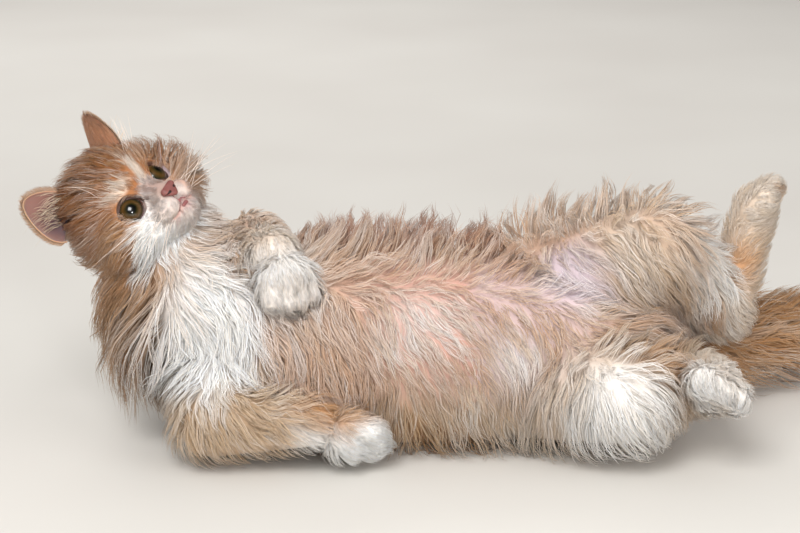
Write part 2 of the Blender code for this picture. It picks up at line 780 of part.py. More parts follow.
def head_parts():
    """The head with its open lids and mouth, and the eyes, ears and nose that sit in it."""
    head = head_part()
    made = [head]
    for name, side in (("right", 1), ("left", -1)):
        open_lids(head, side)
        made.append(eye_part("eye_" + name, side))
        ear = ear_part("ear_" + name, side, EAR_TURNS[name])
        cut_clear(ear, [head])
        made.append(ear)
    mouth_groove(head)
    made.append(nose_part())
    cut_clear(head, made[-1:])
    return made


def build():
    """Makes every node, each cut clear of the ones before it."""
    made = head_parts()
    for name in ["chest", "abdomen"] + list(LENGTHS) + list(PAWS):
        if name in LENGTHS:
            part = length_part(name)
        elif name in PAWS:
            part = paw_part(name)
        else:
            part = trunk_half(name, TRUNK_SIDES[name])
        cut_clear(part, made)
        if min(vert.co.z for vert in part.data.vertices) < 0:
            cut_flat(part, (0, 0, 0), (0, 0, 1))
        keep_largest(part)
        made.append(part)
    return made


def main():
    for obj in list(bpy.data.objects):
        bpy.data.objects.remove(obj)
    for name in ("persian_kitten", "helpers"):
        collection = bpy.data.collections.new(name)
        bpy.context.scene.collection.children.link(collection)
    grow_coat(build())
    whole = bpy.data.objects.new("kitten", None)
    bpy.context.scene.collection.objects.link(whole)
    for obj in bpy.data.collections["persian_kitten"].objects:
        part_touching(obj)
        painted(obj, *FINISHES[FINISH_OF.get(obj.name, "white_coat")])
        set_down(obj, whole)


main()
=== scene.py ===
"""The looks of a long-haired kitten that lies on its back: its skin, coat, eyes, nose, ears and whiskers.

One skin stands for all the flesh of the frame, and the coat is thousands of closed, tapered tufts rooted in it.
The body plan repeats the frame's own: places in millimetres, +X from head to tail, the belly up and towards -Y,
and the kitten's right side nearest the camera.
"""

import collections
import math

import bmesh
import bpy
import numpy as np
from mathutils import Matrix, Vector
from mathutils.bvhtree import BVHTree
from mathutils.kdtree import KDTree


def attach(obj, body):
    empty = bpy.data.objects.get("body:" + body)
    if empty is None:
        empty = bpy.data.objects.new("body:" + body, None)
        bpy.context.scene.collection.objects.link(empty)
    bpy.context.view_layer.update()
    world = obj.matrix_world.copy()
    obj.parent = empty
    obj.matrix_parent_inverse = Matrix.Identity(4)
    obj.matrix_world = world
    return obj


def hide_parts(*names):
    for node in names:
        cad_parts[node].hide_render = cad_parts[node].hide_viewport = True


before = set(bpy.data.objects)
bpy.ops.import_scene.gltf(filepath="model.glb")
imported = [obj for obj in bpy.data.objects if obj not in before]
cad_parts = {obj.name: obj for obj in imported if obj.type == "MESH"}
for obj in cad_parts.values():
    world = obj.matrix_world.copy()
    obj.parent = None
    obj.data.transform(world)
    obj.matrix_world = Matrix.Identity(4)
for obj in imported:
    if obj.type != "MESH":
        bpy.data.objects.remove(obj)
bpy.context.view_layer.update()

MM = 0.001
SIDES = (("right", 1), ("left", -1))

# How the body lies.
BELLY_LIFT = math.radians(35)
REAR = np.array((1.0, 0.0, 0.0))
BELLY = np.array((0.0, -math.cos(BELLY_LIFT), math.sin(BELLY_LIFT)))
LEFT = np.array((0.0, math.sin(BELLY_LIFT), math.cos(BELLY_LIFT)))
DOWN = np.array((0.0, 0.0, -1.0))
BODY_AXES = np.array((REAR, LEFT, BELLY))


def unit(vectors):
    """Vectors made one long, singly or in rows."""
    vectors = np.asarray(vectors, float)
    return vectors / np.maximum(np.linalg.norm(vectors, axis=-1, keepdims=True), 1e-12)


# How the head lies: its middle, where the face looks, where the crown points, and the way to the right ear.
SKULL = np.array((-174, 0, 153.5)) * MM
FACE = unit((0.39, -0.62, 0.68))
CROWN = np.array((-0.84, 0.07, 0.54))
CROWN = unit(CROWN - FACE * FACE.dot(CROWN))
CHEEK = np.cross(FACE, CROWN)
HEAD_AXES = np.array((CHEEK, FACE, CROWN))

# The trunk along its length: place along X, height, half width, half depth, coat.
TRUNK = {
    "rump": (140, 52, 38, 37, 23),
    "pelvis": (112, 57, 47, 46, 25),
    "loin": (60, 58, 49, 48, 27),
    "belly": (2, 60, 53, 51, 27),
    "rib": (-50, 61, 51, 51, 26),
    "breast": (-94, 68, 45, 47, 26),
    "withers": (-130, 84, 38, 39, 25),
}
TRUNK_ALONG = 0.72
TRUNK_SPLIT = -40

# The joints of the neck, legs and tail: place, radius of the flesh, coat.
JOINTS = {
    "nape": ((-138, 4, 98), 31, 22),
    "throat": ((-153, 5, 122), 25, 17),
    "shoulder_right": ((-110, -26, 54), 24, 20),
    "elbow_right": ((-118, -58, 28), 16, 14),
    "wrist_right": ((-54, -70, 32), 11.5, 7),
    "knuckle_right": ((-31, -73, 25), 12, 5),
    "shoulder_left": ((-110, 18, 102), 22, 16),
    "elbow_left": ((-95, 27, 123), 14, 10),
    "wrist_left": ((-79, -34, 130), 11.5, 7),
    "knuckle_left": ((-71, -50, 120), 12, 5),
    "hip_left": ((98, 16, 86), 35, 22),
    "knee_left": ((162, -4, 125), 20, 20),
    "hock_left": ((216, 27, 71), 11, 9),
    "ball_left": ((235, 46, 140), 11, 6),
    "hip_right": ((98, -16, 44), 33, 20),
    "knee_right": ((140, -66, 46), 20, 18),
    "hock_right": ((188, -14, 40), 11.5, 10),
    "ball_right": ((195, -76, 58), 11, 6),
    "dock": ((146, 22, 44), 12, 18),
    "tail_first": ((192, 52, 35), 8.5, 24),
    "tail_second": ((246, 86, 33), 7.5, 26),
    "tail_tip": ((300, 106, 31), 5.5, 24),
}

# The pieces that run from one joint to the next.
LENGTHS = {
    "neck": ("nape", "throat"),
    "thigh_right": ("hip_right", "knee_right"),
    "thigh_left": ("hip_left", "knee_left"),
    "shank_right": ("knee_right", "hock_right"),
    "shank_left": ("knee_left", "hock_left"),
    "hind_foot_right": ("hock_right", "ball_right"),
    "hind_foot_left": ("hock_left", "ball_left"),
    "upper_arm_right": ("shoulder_right", "elbow_right"),
    "upper_arm_left": ("shoulder_left", "elbow_left"),
    "forearm_right": ("elbow_right", "wrist_right"),
    "forearm_left": ("elbow_left", "wrist_left"),
    "tail_root": ("dock", "tail_first"),
    "tail_middle": ("tail_first", "tail_second"),
    "tail_end": ("tail_second", "tail_tip"),
}

# Each paw: the knuckle joint it grows from, the way its toes point, the way across it, toe length, radius and spread.
PAWS = {
    "paw_fore_right": ("knuckle_right", (0.96, -0.12, -0.16), (0.05, 0.62, -0.78), 13, 6.6, 1.15),
    "paw_fore_left": ("knuckle_left", (0.28, -0.50, -0.82), (0.86, 0.50, 0.0), 12, 6.2, 1.4),
    "paw_hind_left": ("ball_left", (0.58, -0.22, 0.78), (0.30, 0.92, 0.05), 13, 6.4, 1.3),
    "paw_hind_right": ("ball_right", (0.05, -0.96, 0.24), (0.82, 0.10, -0.50), 12, 6.8, 1.1),
}
TOES = 4

# The head's balls in its own frame, across, forward and up: middle, half sizes, coat.
HEAD = {
    "cranium": ((0, -5, 5), (32, 33, 28), 11),
    "brow": ((0, 11, 11), (23, 16, 16), 6),
    "cheek": ((20, 6, -13), (15, 17, 15), 12),
    "jaw": ((11, 15, -23), (11, 13, 9), 7),
    "bridge": ((0, 24, -7), (8, 8, 8), 3),
    "nose_root": ((0, 33, -14), (6.5, 6.5, 6.5), 2),
    "muzzle": ((7.5, 31, -23), (8.5, 8.5, 7.5), 2),
    "chin": ((0, 28, -33), (8, 8, 6.5), 3),
}
EYE = (15.2, 17.2, -4.5)
EYE_RADIUS = 9.4
EYE_LOOKS = {1: (0.36, 0.92, 0.10), -1: (0.47, 0.87, 0.10)}
LID_THICKNESS = 1.7
LID_OPENING = 7.9
NOSE_WING = ((4.0, 39.5, -15.6), 2.5)
NOSE_POINT = ((0, 40.4, -20.6), 2.0)
NOSTRIL = ((2.5, 42.6, -18.2), (7.2, 39.6, -17.8), 0.95)
LIP_MIDDLE = (0, 38.8, -26.7)
MOUTH_WIDTH = 12
EAR_BASE = (31, -4, 25)
EAR_TIP = (41.5, 1, 55)
EAR_WIDTH = 36
EAR_WALL = 0.8
EAR_TURNS = {"right": 20, "left": 100}

# The skin carries this share of the coat's depth, as the woolly down under the long hair.
SKIN_SHARE = 0.42
HEAD_SHARE = 0.3
BODY_VOXEL, HEAD_VOXEL = 1.5 * MM, 1.0 * MM
BODY_TRIANGLES = 125_000

# The coat of each kind of piece, in millimetres: hair length, how far the tips stand out, space between the tufts,
# width of a tuft, how much it stands up on the far side, how much it swirls, and the way it lies: down the piece,
# away from the belly's middle line, away from the nose, down.
Coat = collections.namedtuple("Coat", "length stand space width lift swirl along outwards from_nose hang")
COATS = {
    "abdomen": Coat(37, 14, 1.92, 0.46, 0.95, 1.0, 0.5, 0.9, 0.0, 0.6),
    "chest": Coat(40, 14, 1.85, 0.46, 0.45, 1.0, 0.5, 0.7, 0.0, 0.9),
    "neck": Coat(33, 12, 1.8, 0.48, 0.30, 0.7, 0.6, 0.1, 0.4, 0.8),
    "head": Coat(18, 8, 1.0, 0.36, 0.00, 0.2, 0.0, 0.0, 1.0, 0.15),
    "thigh": Coat(37, 13, 1.97, 0.46, 0.95, 0.6, 0.5, 0.0, 0.0, 0.9),
    "shank": Coat(23, 8.5, 1.8, 0.42, 0.75, 0.5, 0.7, 0.0, 0.0, 0.8),
    "hind_foot": Coat(12, 4.5, 1.3, 0.36, 0.30, 0.2, 0.8, 0.0, 0.0, 0.4),
    "paw_hind": Coat(7.9, 3.2, 1.0, 0.32, 0.10, 0.1, 0.7, 0.0, 0.0, 0.5),
    "upper_arm": Coat(19, 6.5, 1.6, 0.42, 0.00, 0.5, 0.5, 0.0, 0.0, 0.9),
    "forearm": Coat(10, 3.2, 1.2, 0.32, 0.10, 0.2, 0.9, 0.0, 0.0, 0.3),
    "paw_fore": Coat(5.2, 1.8, 0.88, 0.28, 0.00, 0.1, 1.0, 0.0, 0.0, 0.1),
    "tail_root": Coat(42, 16, 2.0, 0.52, 0.20, 0.5, 1.0, 0.0, 0.0, 0.1),
    "tail_middle": Coat(46, 19, 2.0, 0.52, 0.20, 0.5, 1.0, 0.0, 0.0, 0.1),
    "tail_end": Coat(48, 19, 2.0, 0.52, 0.20, 0.5, 1.0, 0.0, 0.0, 0.0),
}
# Pieces whose coat is fuller than their kind's: name, longer hair, further out, and the share of it on the upper side.
PUFFS = (
    ("paw_hind_right", 5, 2.5, 0.0),
    ("hind_foot_right", 4, 2, 0.0),
    ("paw_fore_right", 2.5, 2.0, 0.6),
    ("upper_arm_left", -7, -2.5, 0.0),
    ("forearm_right", 14, 11, 0.7),
)
PIECE_BLEND = 5.0  # millimetres over which the coat of one piece turns into the next one's
LENGTHS_BY_NOSE = ((0, 6, 12, 20, 30, 42, 60), (1.4, 1.7, 2.6, 4.2, 7.0, 12, 17))
SPACE_BY_NOSE = ((0, 15, 30, 50), (0.58, 0.66, 0.84, 1.08))

STEPS = 8
ROOT_DEPTH = 1.0
FLOOR_BAND = 30.0
FLOOR_SPLAY = 20.0
LEAST_HEIGHT = 0.8
LOCK_SPACE = 8.5  # space between the middles of the big locks
WISP_SHARE = 2.1  # space between the middles of the fine wisps, as a share of the space between tufts
TUFT_RINGS = ((0, 2), (8, 3), (18, 4))  # from this length on, a tuft has this many rings
RING_PLACES = {2: (0, 0.5, 1), 3: (0, 0.38, 0.72, 1), 4: (0, 0.32, 0.56, 0.79, 1)}
PIECE_TRIANGLES = 190_000
SEED = 11

# The regions that the coat's pieces are named for, each with a slot name that nothing reads, and the kinds of piece in
# it.
REGIONS = (
    ("coat_head", "cream_coat", ("head",)),
    ("coat_neck", "white_coat", ("neck",)),
    ("coat_chest", "white_coat", ("chest",)),
    ("coat_abdomen", "white_coat", ("abdomen",)),
    ("coat_forelegs", "white_coat", ("upper_arm", "forearm", "paw_fore")),
    ("coat_hind_legs", "white_coat", ("thigh", "shank", "hind_foot", "paw_hind")),
    ("coat_tail", "cream_coat", ("tail_root", "tail_middle", "tail_end")),
)

Ball = collections.namedtuple("Ball", "middle sizes axes coat")


def linear(hexed):
    """The linear colour of an sRGB hex value."""
    parts = np.array([int(hexed[i : i + 2], 16) / 255 for i in (1, 3, 5)])
    return np.where(parts <= 0.04045, parts / 12.92, ((parts + 0.055) / 1.055) ** 2.4)


def in_head(across, forward, up):
    """A place given in the head's own frame, in millimetres."""
    return SKULL + (CHEEK * across + FACE * forward + CROWN * up) * MM


def on_side(place, side):
    """A head place moved to one side: 1 is the kitten's right and -1 its left."""
    return in_head(place[0] * side, place[1], place[2])


NOSE_TIP = in_head(*NOSE_POINT[0])


def trunk_ball(name):
    along, height, half_width, half_depth, coat = TRUNK[name]
    sizes = np.array((half_width * TRUNK_ALONG, half_width, half_depth)) * MM
    return Ball(np.array((along, 0, height)) * MM, sizes, BODY_AXES, coat * MM)


def joint_ball(name):
    place, radius, coat = JOINTS[name]
    return Ball(np.array(place) * MM, np.full(3, radius * MM), BODY_AXES, coat * MM)


def head_ball(name, side=1):
    place, sizes, coat = HEAD[name]
    return Ball(on_side(place, side), np.array(sizes) * MM, HEAD_AXES, coat * MM)


def round_ball(middle, radius, coat=0.0):
    return Ball(np.asarray(middle), np.full(3, radius), BODY_AXES, coat)


def paw_frame(name):
    """A paw's ball, the way its toes point and the way across it."""
    joint, forward, across = PAWS[name][:3]
    forward = unit(forward)
    across = np.asarray(across, float)
    return joint_ball(joint), forward, unit(across - forward * forward.dot(across))


def paw_hulls(name):
    """A paw's ball, and a fan of short round toes."""
    ball, forward, across = paw_frame(name)
    length, radius, spread = PAWS[name][3:]
    hulls = [[ball]]
    for toe in range(TOES):
        offset = (toe - (TOES - 1) / 2) * radius * spread * MM
        reach = length * (1.0 if toe in (0, TOES - 1) else 1.22) * MM
        root = round_ball(ball.middle + across * offset * 0.8, radius * MM, ball.coat)
        tip = ball.middle + across * offset + forward * reach
        hulls.append([root, round_ball(tip, radius * MM * 0.92, ball.coat * 0.6)])
    return hulls


def head_hulls():
    """The skull, cheeks, muzzle, chin and the swelling of each lid."""
    hulls = [[head_ball("cranium"), head_ball("brow")], [head_ball("bridge"), head_ball("nose_root")]]
    hulls += [[head_ball("chin"), head_ball("jaw"), head_ball("jaw", -1)]]
    for _, side in SIDES:
        hulls += [[head_ball("cheek", side), head_ball("jaw", side)], [head_ball("muzzle", side)]]
        hulls += [[round_ball(on_side(EYE, side), (EYE_RADIUS + LID_THICKNESS) * MM)]]
        hulls += [[head_ball("brow"), head_ball("cheek", side)]]
    return hulls


def body_plan():
    """The hulls of balls that each piece of the body is made of, by the names of the frame's nodes."""
    balls = [trunk_ball(name) for name in TRUNK]
    rear = [list(pair) for pair in zip(balls[:5], balls[1:5])]
    front = [list(pair) for pair in zip(balls[4:], balls[5:])]
    plan = {"head": head_hulls(), "abdomen": rear, "chest": front}
    for name, (near, far) in LENGTHS.items():
        plan[name] = [[joint_ball(near), joint_ball(far)]]
    for name in PAWS:
        plan[name] = paw_hulls(name)
    return plan


PLAN = body_plan()
KINDS = {name: name.replace("_right", "").replace("_left", "") for name in PLAN}


def way_of(name):
    """The way that a piece runs, from the head to the tail or from the body to the toes."""
    if name in PAWS:
        return paw_frame(name)[1]
    if name not in LENGTHS:
        return REAR
    near, far = (joint_ball(end).middle for end in LENGTHS[name])
    return unit(near - far) if name == "neck" else unit(far - near)


def new_piece(name, bm):
    """An object from a bmesh."""
    mesh = bpy.data.meshes.new(name)
    bm.to_mesh(mesh)
    bm.free()
    obj = bpy.data.objects.new(name, mesh)
    bpy.context.scene.collection.objects.link(obj)
    return obj


def unit_ball():
    bm = bmesh.new()
    bmesh.ops.create_icosphere(bm, subdivisions=4, radius=1.0)
    points = np.array([vert.co for vert in bm.verts])
    bm.free()
    return points


UNIT_BALL = unit_ball()


def add_hull(bm, balls, share=0.0):
    """The hull of several balls, as one closed form in the mesh."""
    places = [(UNIT_BALL * (ball.sizes + ball.coat * share)) @ ball.axes + ball.middle for ball in balls]
    verts = [bm.verts.new(place) for place in np.concatenate(places)]
    hull = bmesh.ops.convex_hull(bm, input=verts)
    inside = {e for e in hull["geom_interior"] + hull["geom_unused"] if isinstance(e, bmesh.types.BMVert)}
    bmesh.ops.delete(bm, geom=list(inside), context="VERTS")


def worked_in(obj):
    """The object with its modifiers worked into its mesh."""
    graph = bpy.context.evaluated_depsgraph_get()
    mesh = bpy.data.meshes.new_from_object(obj.evaluated_get(graph))
    obj.modifiers.clear()
    old, obj.data = obj.data, mesh
    bpy.data.meshes.remove(old)
    return obj


def one_skin(name, hulls, voxel, rounds, share=0.0):
    """Joins hulls of balls into one smooth closed skin."""
    bm = bmesh.new()
    for balls in hulls:
        add_hull(bm, balls, share)
    skin = new_piece(name, bm)
    remesh = skin.modifiers.new("one_skin", "REMESH")
    remesh.mode = "VOXEL"
    remesh.voxel_size = voxel
    smooth = skin.modifiers.new("soft", "SMOOTH")
    smooth.factor = 0.5
    smooth.iterations = rounds
    return worked_in(skin)


def dress(obj, material):
    """Gives a finished piece its material and smooth shading."""
    obj.data.materials.clear()
    obj.data.materials.append(material)
    obj.data.shade_smooth()
    return obj


def boolean(obj, other, operation):
    """Joins or cuts an object with another one, which is then removed."""
    modifier = obj.modifiers.new(operation.lower(), "BOOLEAN")
    modifier.operation = operation
    modifier.solver = "MANIFOLD"
    modifier.object = other
    worked_in(obj)
    bpy.data.objects.remove(other)


def eye_frame(side):
    """The middle of an eye, and a frame of three rows: towards the nose, up, and the way the eye looks."""
    aside, ahead, above = EYE_LOOKS[side]
    look = unit(CHEEK * aside * side + FACE * ahead + CROWN * above)
    inwards = -CHEEK * side - CROWN * 0.18
    inwards = unit(inwards - look * look.dot(inwards))
    up = np.cross(look, inwards)
    up = up * np.sign(up.dot(CROWN))
    return on_side(EYE, side), np.array((inwards, up, look))


def lid_line(count):
    """The edge of the opening between the lids, as angles round the eye and angles away from where it looks."""
    turns = np.linspace(0, 2 * np.pi, count, endpoint=False)
    inner = np.exp(-((np.angle(np.exp(1j * (turns - 0.12))) / 0.33) ** 2))
    outer = np.exp(-((np.angle(np.exp(1j * (turns - np.pi))) / 0.45) ** 2))
    spread = math.asin(LID_OPENING / EYE_RADIUS) * (0.95 - 0.05 * np.abs(np.sin(turns)) + 0.24 * inner + 0.06 * outer)
    return turns, spread


def lid_places(side, radius, count):
    """Places along the lids' edge at a distance from the eye's middle."""
    middle, (inwards, up, look) = eye_frame(side)
    turns, spread = lid_line(count)
    around = np.outer(np.cos(turns), inwards) + np.outer(np.sin(turns), up)
    return middle + (around * np.sin(spread)[:, None] + np.outer(np.cos(spread), look)) * radius


def open_lids(skin, side):
    """Cuts the eye's seat in the skin, and the opening between the lids."""
    middle, (_, _, look) = eye_frame(side)
    bm = bmesh.new()
    rings = [lid_places(side, EYE_RADIUS * share * MM, 48) for share in (0.55, 1.0, 1.25)]
    rings.append(rings[-1] + look * 12 * MM)
    rows = [[bm.verts.new(place) for place in ring] for ring in rings]
    for near, far in zip(rows, rows[1:]):
        for i in range(48):
            j = (i + 1) % 48
            bm.faces.new((near[i], near[j], far[j], far[i]))
    bm.faces.new(rows[0])
    bm.faces.new(rows[-1])
    bmesh.ops.triangulate(bm, faces=bm.faces)
    bmesh.ops.recalc_face_normals(bm, faces=bm.faces)
    boolean(skin, new_piece("opening", bm), "DIFFERENCE")
    bm = bmesh.new()
    bmesh.ops.create_uvsphere(
        bm, u_segments=48, v_segments=32, radius=(EYE_RADIUS + 0.1) * MM, matrix=Matrix.Translation(middle)
    )
    boolean(skin, new_piece("seat", bm), "DIFFERENCE")


def mouth_lines():
    """The line under the nose, and the line that runs out under each half of the muzzle."""
    below_nose = in_head(0, 42, -21)
    middle = in_head(*LIP_MIDDLE)
    lines = [[below_nose, (below_nose + middle) / 2, middle]]
    for _, side in SIDES:
        corner = middle + (CHEEK * side - FACE * 0.45 - CROWN * 0.22) * MOUTH_WIDTH * MM
        lines.append([middle, (middle + corner) / 2 - CROWN * MOUTH_WIDTH * 0.12 * MM, corner])
    return lines


def along_line(points, count):
    """Evenly spaced places on a smooth curve through three points."""
    start, middle, end = points
    knot = 2 * middle - (start + end) / 2
    t = np.linspace(0, 1, count)[:, None]
    return start * (1 - t) ** 2 + knot * 2 * t * (1 - t) + end * t**2


MOUTH = np.concatenate([along_line(line, 24) for line in mouth_lines()])


def distances(places, others):
    """The distance from each place to the nearest of some others."""
    best = np.full(len(places), np.inf)
    for other in others:
        best = np.minimum(best, np.linalg.norm(places - other, axis=1))
    return best


def vertex_array(mesh, name="co", size=3):
    values = np.empty(len(mesh.vertices) * size, np.float32)
    source = mesh.vertices if name == "co" else mesh.vertex_normals
    source.foreach_get("co" if name == "co" else "vector", values)
    return values.reshape(-1, size).astype(float)


def crease_face(skin):
    """Presses the mouth line, the corners of the eyes and the folds by the nose into the skin."""
    places, normals = vertex_array(skin.data), vertex_array(skin.data, "normal")
    near = np.linalg.norm(places - NOSE_TIP, axis=1) < 50 * MM
    depth = np.zeros(len(places))
    depth[near] += 1.1 * np.exp(-((distances(places[near], MOUTH) / (0.9 * MM)) ** 2))
    for _, side in SIDES:
        middle, (inwards, up, look) = eye_frame(side)
        start = middle + (inwards * 0.86 + look * 0.52) * (EYE_RADIUS + 1.2) * MM
        crease = [start + (on_side((5, 35, -14), side) - start) * share for share in np.linspace(0, 0.55, 8)]
        depth[near] += 0.8 * np.exp(-((distances(places[near], crease) / (1.2 * MM)) ** 2))
    places -= normals * (depth * MM)[:, None]
    skin.data.vertices.foreach_set("co", places.astype(np.float32).ravel())


def kitten_skin():
    """The whole skin: the body, the head, the seats of the eyes and the creases of the face."""
    body = [hull for name in PLAN if name != "head" for hull in PLAN[name]]
    skin = one_skin("skin", body, BODY_VOXEL, 6, SKIN_SHARE)
    fewer = skin.modifiers.new("fewer", "DECIMATE")
    fewer.ratio = BODY_TRIANGLES / (2 * len(skin.data.polygons))
    worked_in(skin)
    boolean(skin, one_skin("head", PLAN["head"], HEAD_VOXEL, 6, HEAD_SHARE), "UNION")
    for _, side in SIDES:
        open_lids(skin, side)
    bm = bmesh.new()
    bm.from_mesh(skin.data)
    bmesh.ops.bisect_plane(
        bm, geom=bm.verts[:] + bm.edges[:] + bm.faces[:], dist=1e-6, plane_co=(0, 0, 0.5 * MM), plane_no=(0, 0, 1), clear_inner=True
    )
    bmesh.ops.holes_fill(bm, edges=[edge for edge in bm.edges if edge.is_boundary])
    bmesh.ops.triangulate(bm, faces=bm.faces)
    bm.to_mesh(skin.data)
    bm.free()
    crease_face(skin)
    skin.data.shade_smooth()
    return skin


def ball_distance(places, ball, share):
    """How far places are outside a ball, roughly."""
    sizes = ball.sizes + ball.coat * share
    local = (places - ball.middle) @ ball.axes.T
    return (np.linalg.norm(local / sizes, axis=1) - 1) * sizes.min()


def piece_shares(places):
    """How much of each piece of the plan there is at each place: the nearest ones, blended."""
    rows = []
    for name, hulls in PLAN.items():
        nearest = np.full(len(places), np.inf)
        for balls in hulls:
            for first in balls:
                for second in balls:
                    for share in (0.0, 0.35, 0.5, 0.65) if second is not first else (0.0,):
                        mixed = Ball(*(first[i] * (1 - share) + second[i] * share for i in (0, 1)), first.axes, first.coat)
                        nearest = np.minimum(nearest, ball_distance(places, mixed, SKIN_SHARE))
        rows.append(nearest)
    gaps = np.array(rows).T
    shares = np.exp(-(gaps - gaps.min(axis=1, keepdims=True)) / (PIECE_BLEND * MM))
    return shares / shares.sum(axis=1, keepdims=True)


def smoothstep(low, high, values):
    """The soft step from 0 to 1 between two values, which may come in either order."""
    share = np.clip((values - low) / (high - low), 0, 1)
    return share * share * (3 - 2 * share)


def head_places(places):
    """Places in the head's own frame, in millimetres: across, forward and up."""
    return ((places - SKULL) @ HEAD_AXES.T) / MM


def ripple(places, size, seed=0.0):
    """A soft wandering value from -1 to 1, whose waves are about this many millimetres long."""
    p = places / (MM * size) * 2 * np.pi
    x, y, z = p[:, 0] + seed, p[:, 1] + seed * 1.7, p[:, 2] - seed
    wave = np.sin(x + 1.3 * np.sin(y * 0.7 + z * 0.5)) + np.sin(y * 1.1 + 1.1 * np.sin(z * 0.8 + x * 0.4) + 2.0)
    return (wave + np.sin(z * 0.9 + 1.2 * np.sin(x * 0.6 - y * 0.5) + 4.0)) / 3


# The colours of the coat, and of the skin where the hair is thin.
WHITE = linear("#FDFBF7")
IVORY = linear("#DFCDBA")
CREAM = linear("#C1A58B")
SAND = linear("#BA9872")
PEACH = linear("#C29883")
RUSSET = linear("#96644A")
ORANGE = linear("#BE8B5E")
GINGER = linear("#9A6237")
DEEP_GINGER = linear("#6E4529")
TAWNY = linear("#9C7045")
SMOKE = linear("#6C574A")
LAVENDER = linear("#D3C3C9")
PINK_SKIN = linear("#CF9C91")
LILAC_SKIN = linear("#C6B4BC")
TEAR_BROWN = linear("#55352A")
MUZZLE = linear("#BFAA9F")
BRIDGE = linear("#96776B")
LIP_PINK = linear("#B07D79")

# Soft patches of the coat in the body's frame: middle and half sizes in millimetres, softness, strength, colour.
PATCHES = (
    ((-120, -44, 92), (28, 38, 42), 0.4, 0.9, WHITE),
    ((80, -55, 22), (26, 24, 18), 0.6, 0.8, IVORY),
    ((-118, -60, 62), (18, 22, 16), 0.6, 0.6, WHITE),
    ((-36, -88, 70), (16, 14, 12), 0.6, 0.6, WHITE),
    ((10, -50, 95), (22, 20, 14), 0.7, 0.4, WHITE),
    ((70, -66, 78), (16, 14, 16), 0.6, 0.6, WHITE),
    ((128, -86, 44), (48, 30, 34), 0.5, 0.75, WHITE),
    ((108, -20, 112), (24, 20, 22), 0.5, 0.8, LAVENDER),
    ((150, -10, 130), (26, 24, 22), 0.6, 0.6, IVORY),
    ((205, 5, 95), (26, 26, 40), 0.6, 0.7, IVORY),
    ((190, 10, 110), (22, 30, 30), 0.6, 0.6, WHITE),
    ((-43, -74, 47), (31, 24, 18), 0.35, 0.95, ORANGE),
    ((-106, -20, 120), (7, 14, 18), 0.5, 0.6, ORANGE),
    ((223, 23, 107), (9, 13, 13), 0.5, 0.85, ORANGE),
    ((199, -4, 89), (10, 12, 10), 0.5, 0.8, ORANGE),
    ((249, 35, 151), (6, 9, 9), 0.5, 0.7, ORANGE),
    ((164, -56, 66), (24, 18, 16), 0.6, 0.9, ORANGE),
    ((160, -30, 66), (18, 14, 12), 0.6, 0.6, TAWNY),
)


def trunk_turn(places):
    """How far a place on the trunk is on the belly's side, from -1 at the back to 1 at the middle of the belly."""
    order = np.argsort([row[0] for row in TRUNK.values()])
    rows = np.array(list(TRUNK.values()))[order]
    height = np.interp(places[:, 0] / MM, rows[:, 0], rows[:, 1]) * MM
    out = unit(np.stack((np.zeros(len(places)), places[:, 1], places[:, 2] - height), axis=1))
    return out @ BELLY, out @ LEFT


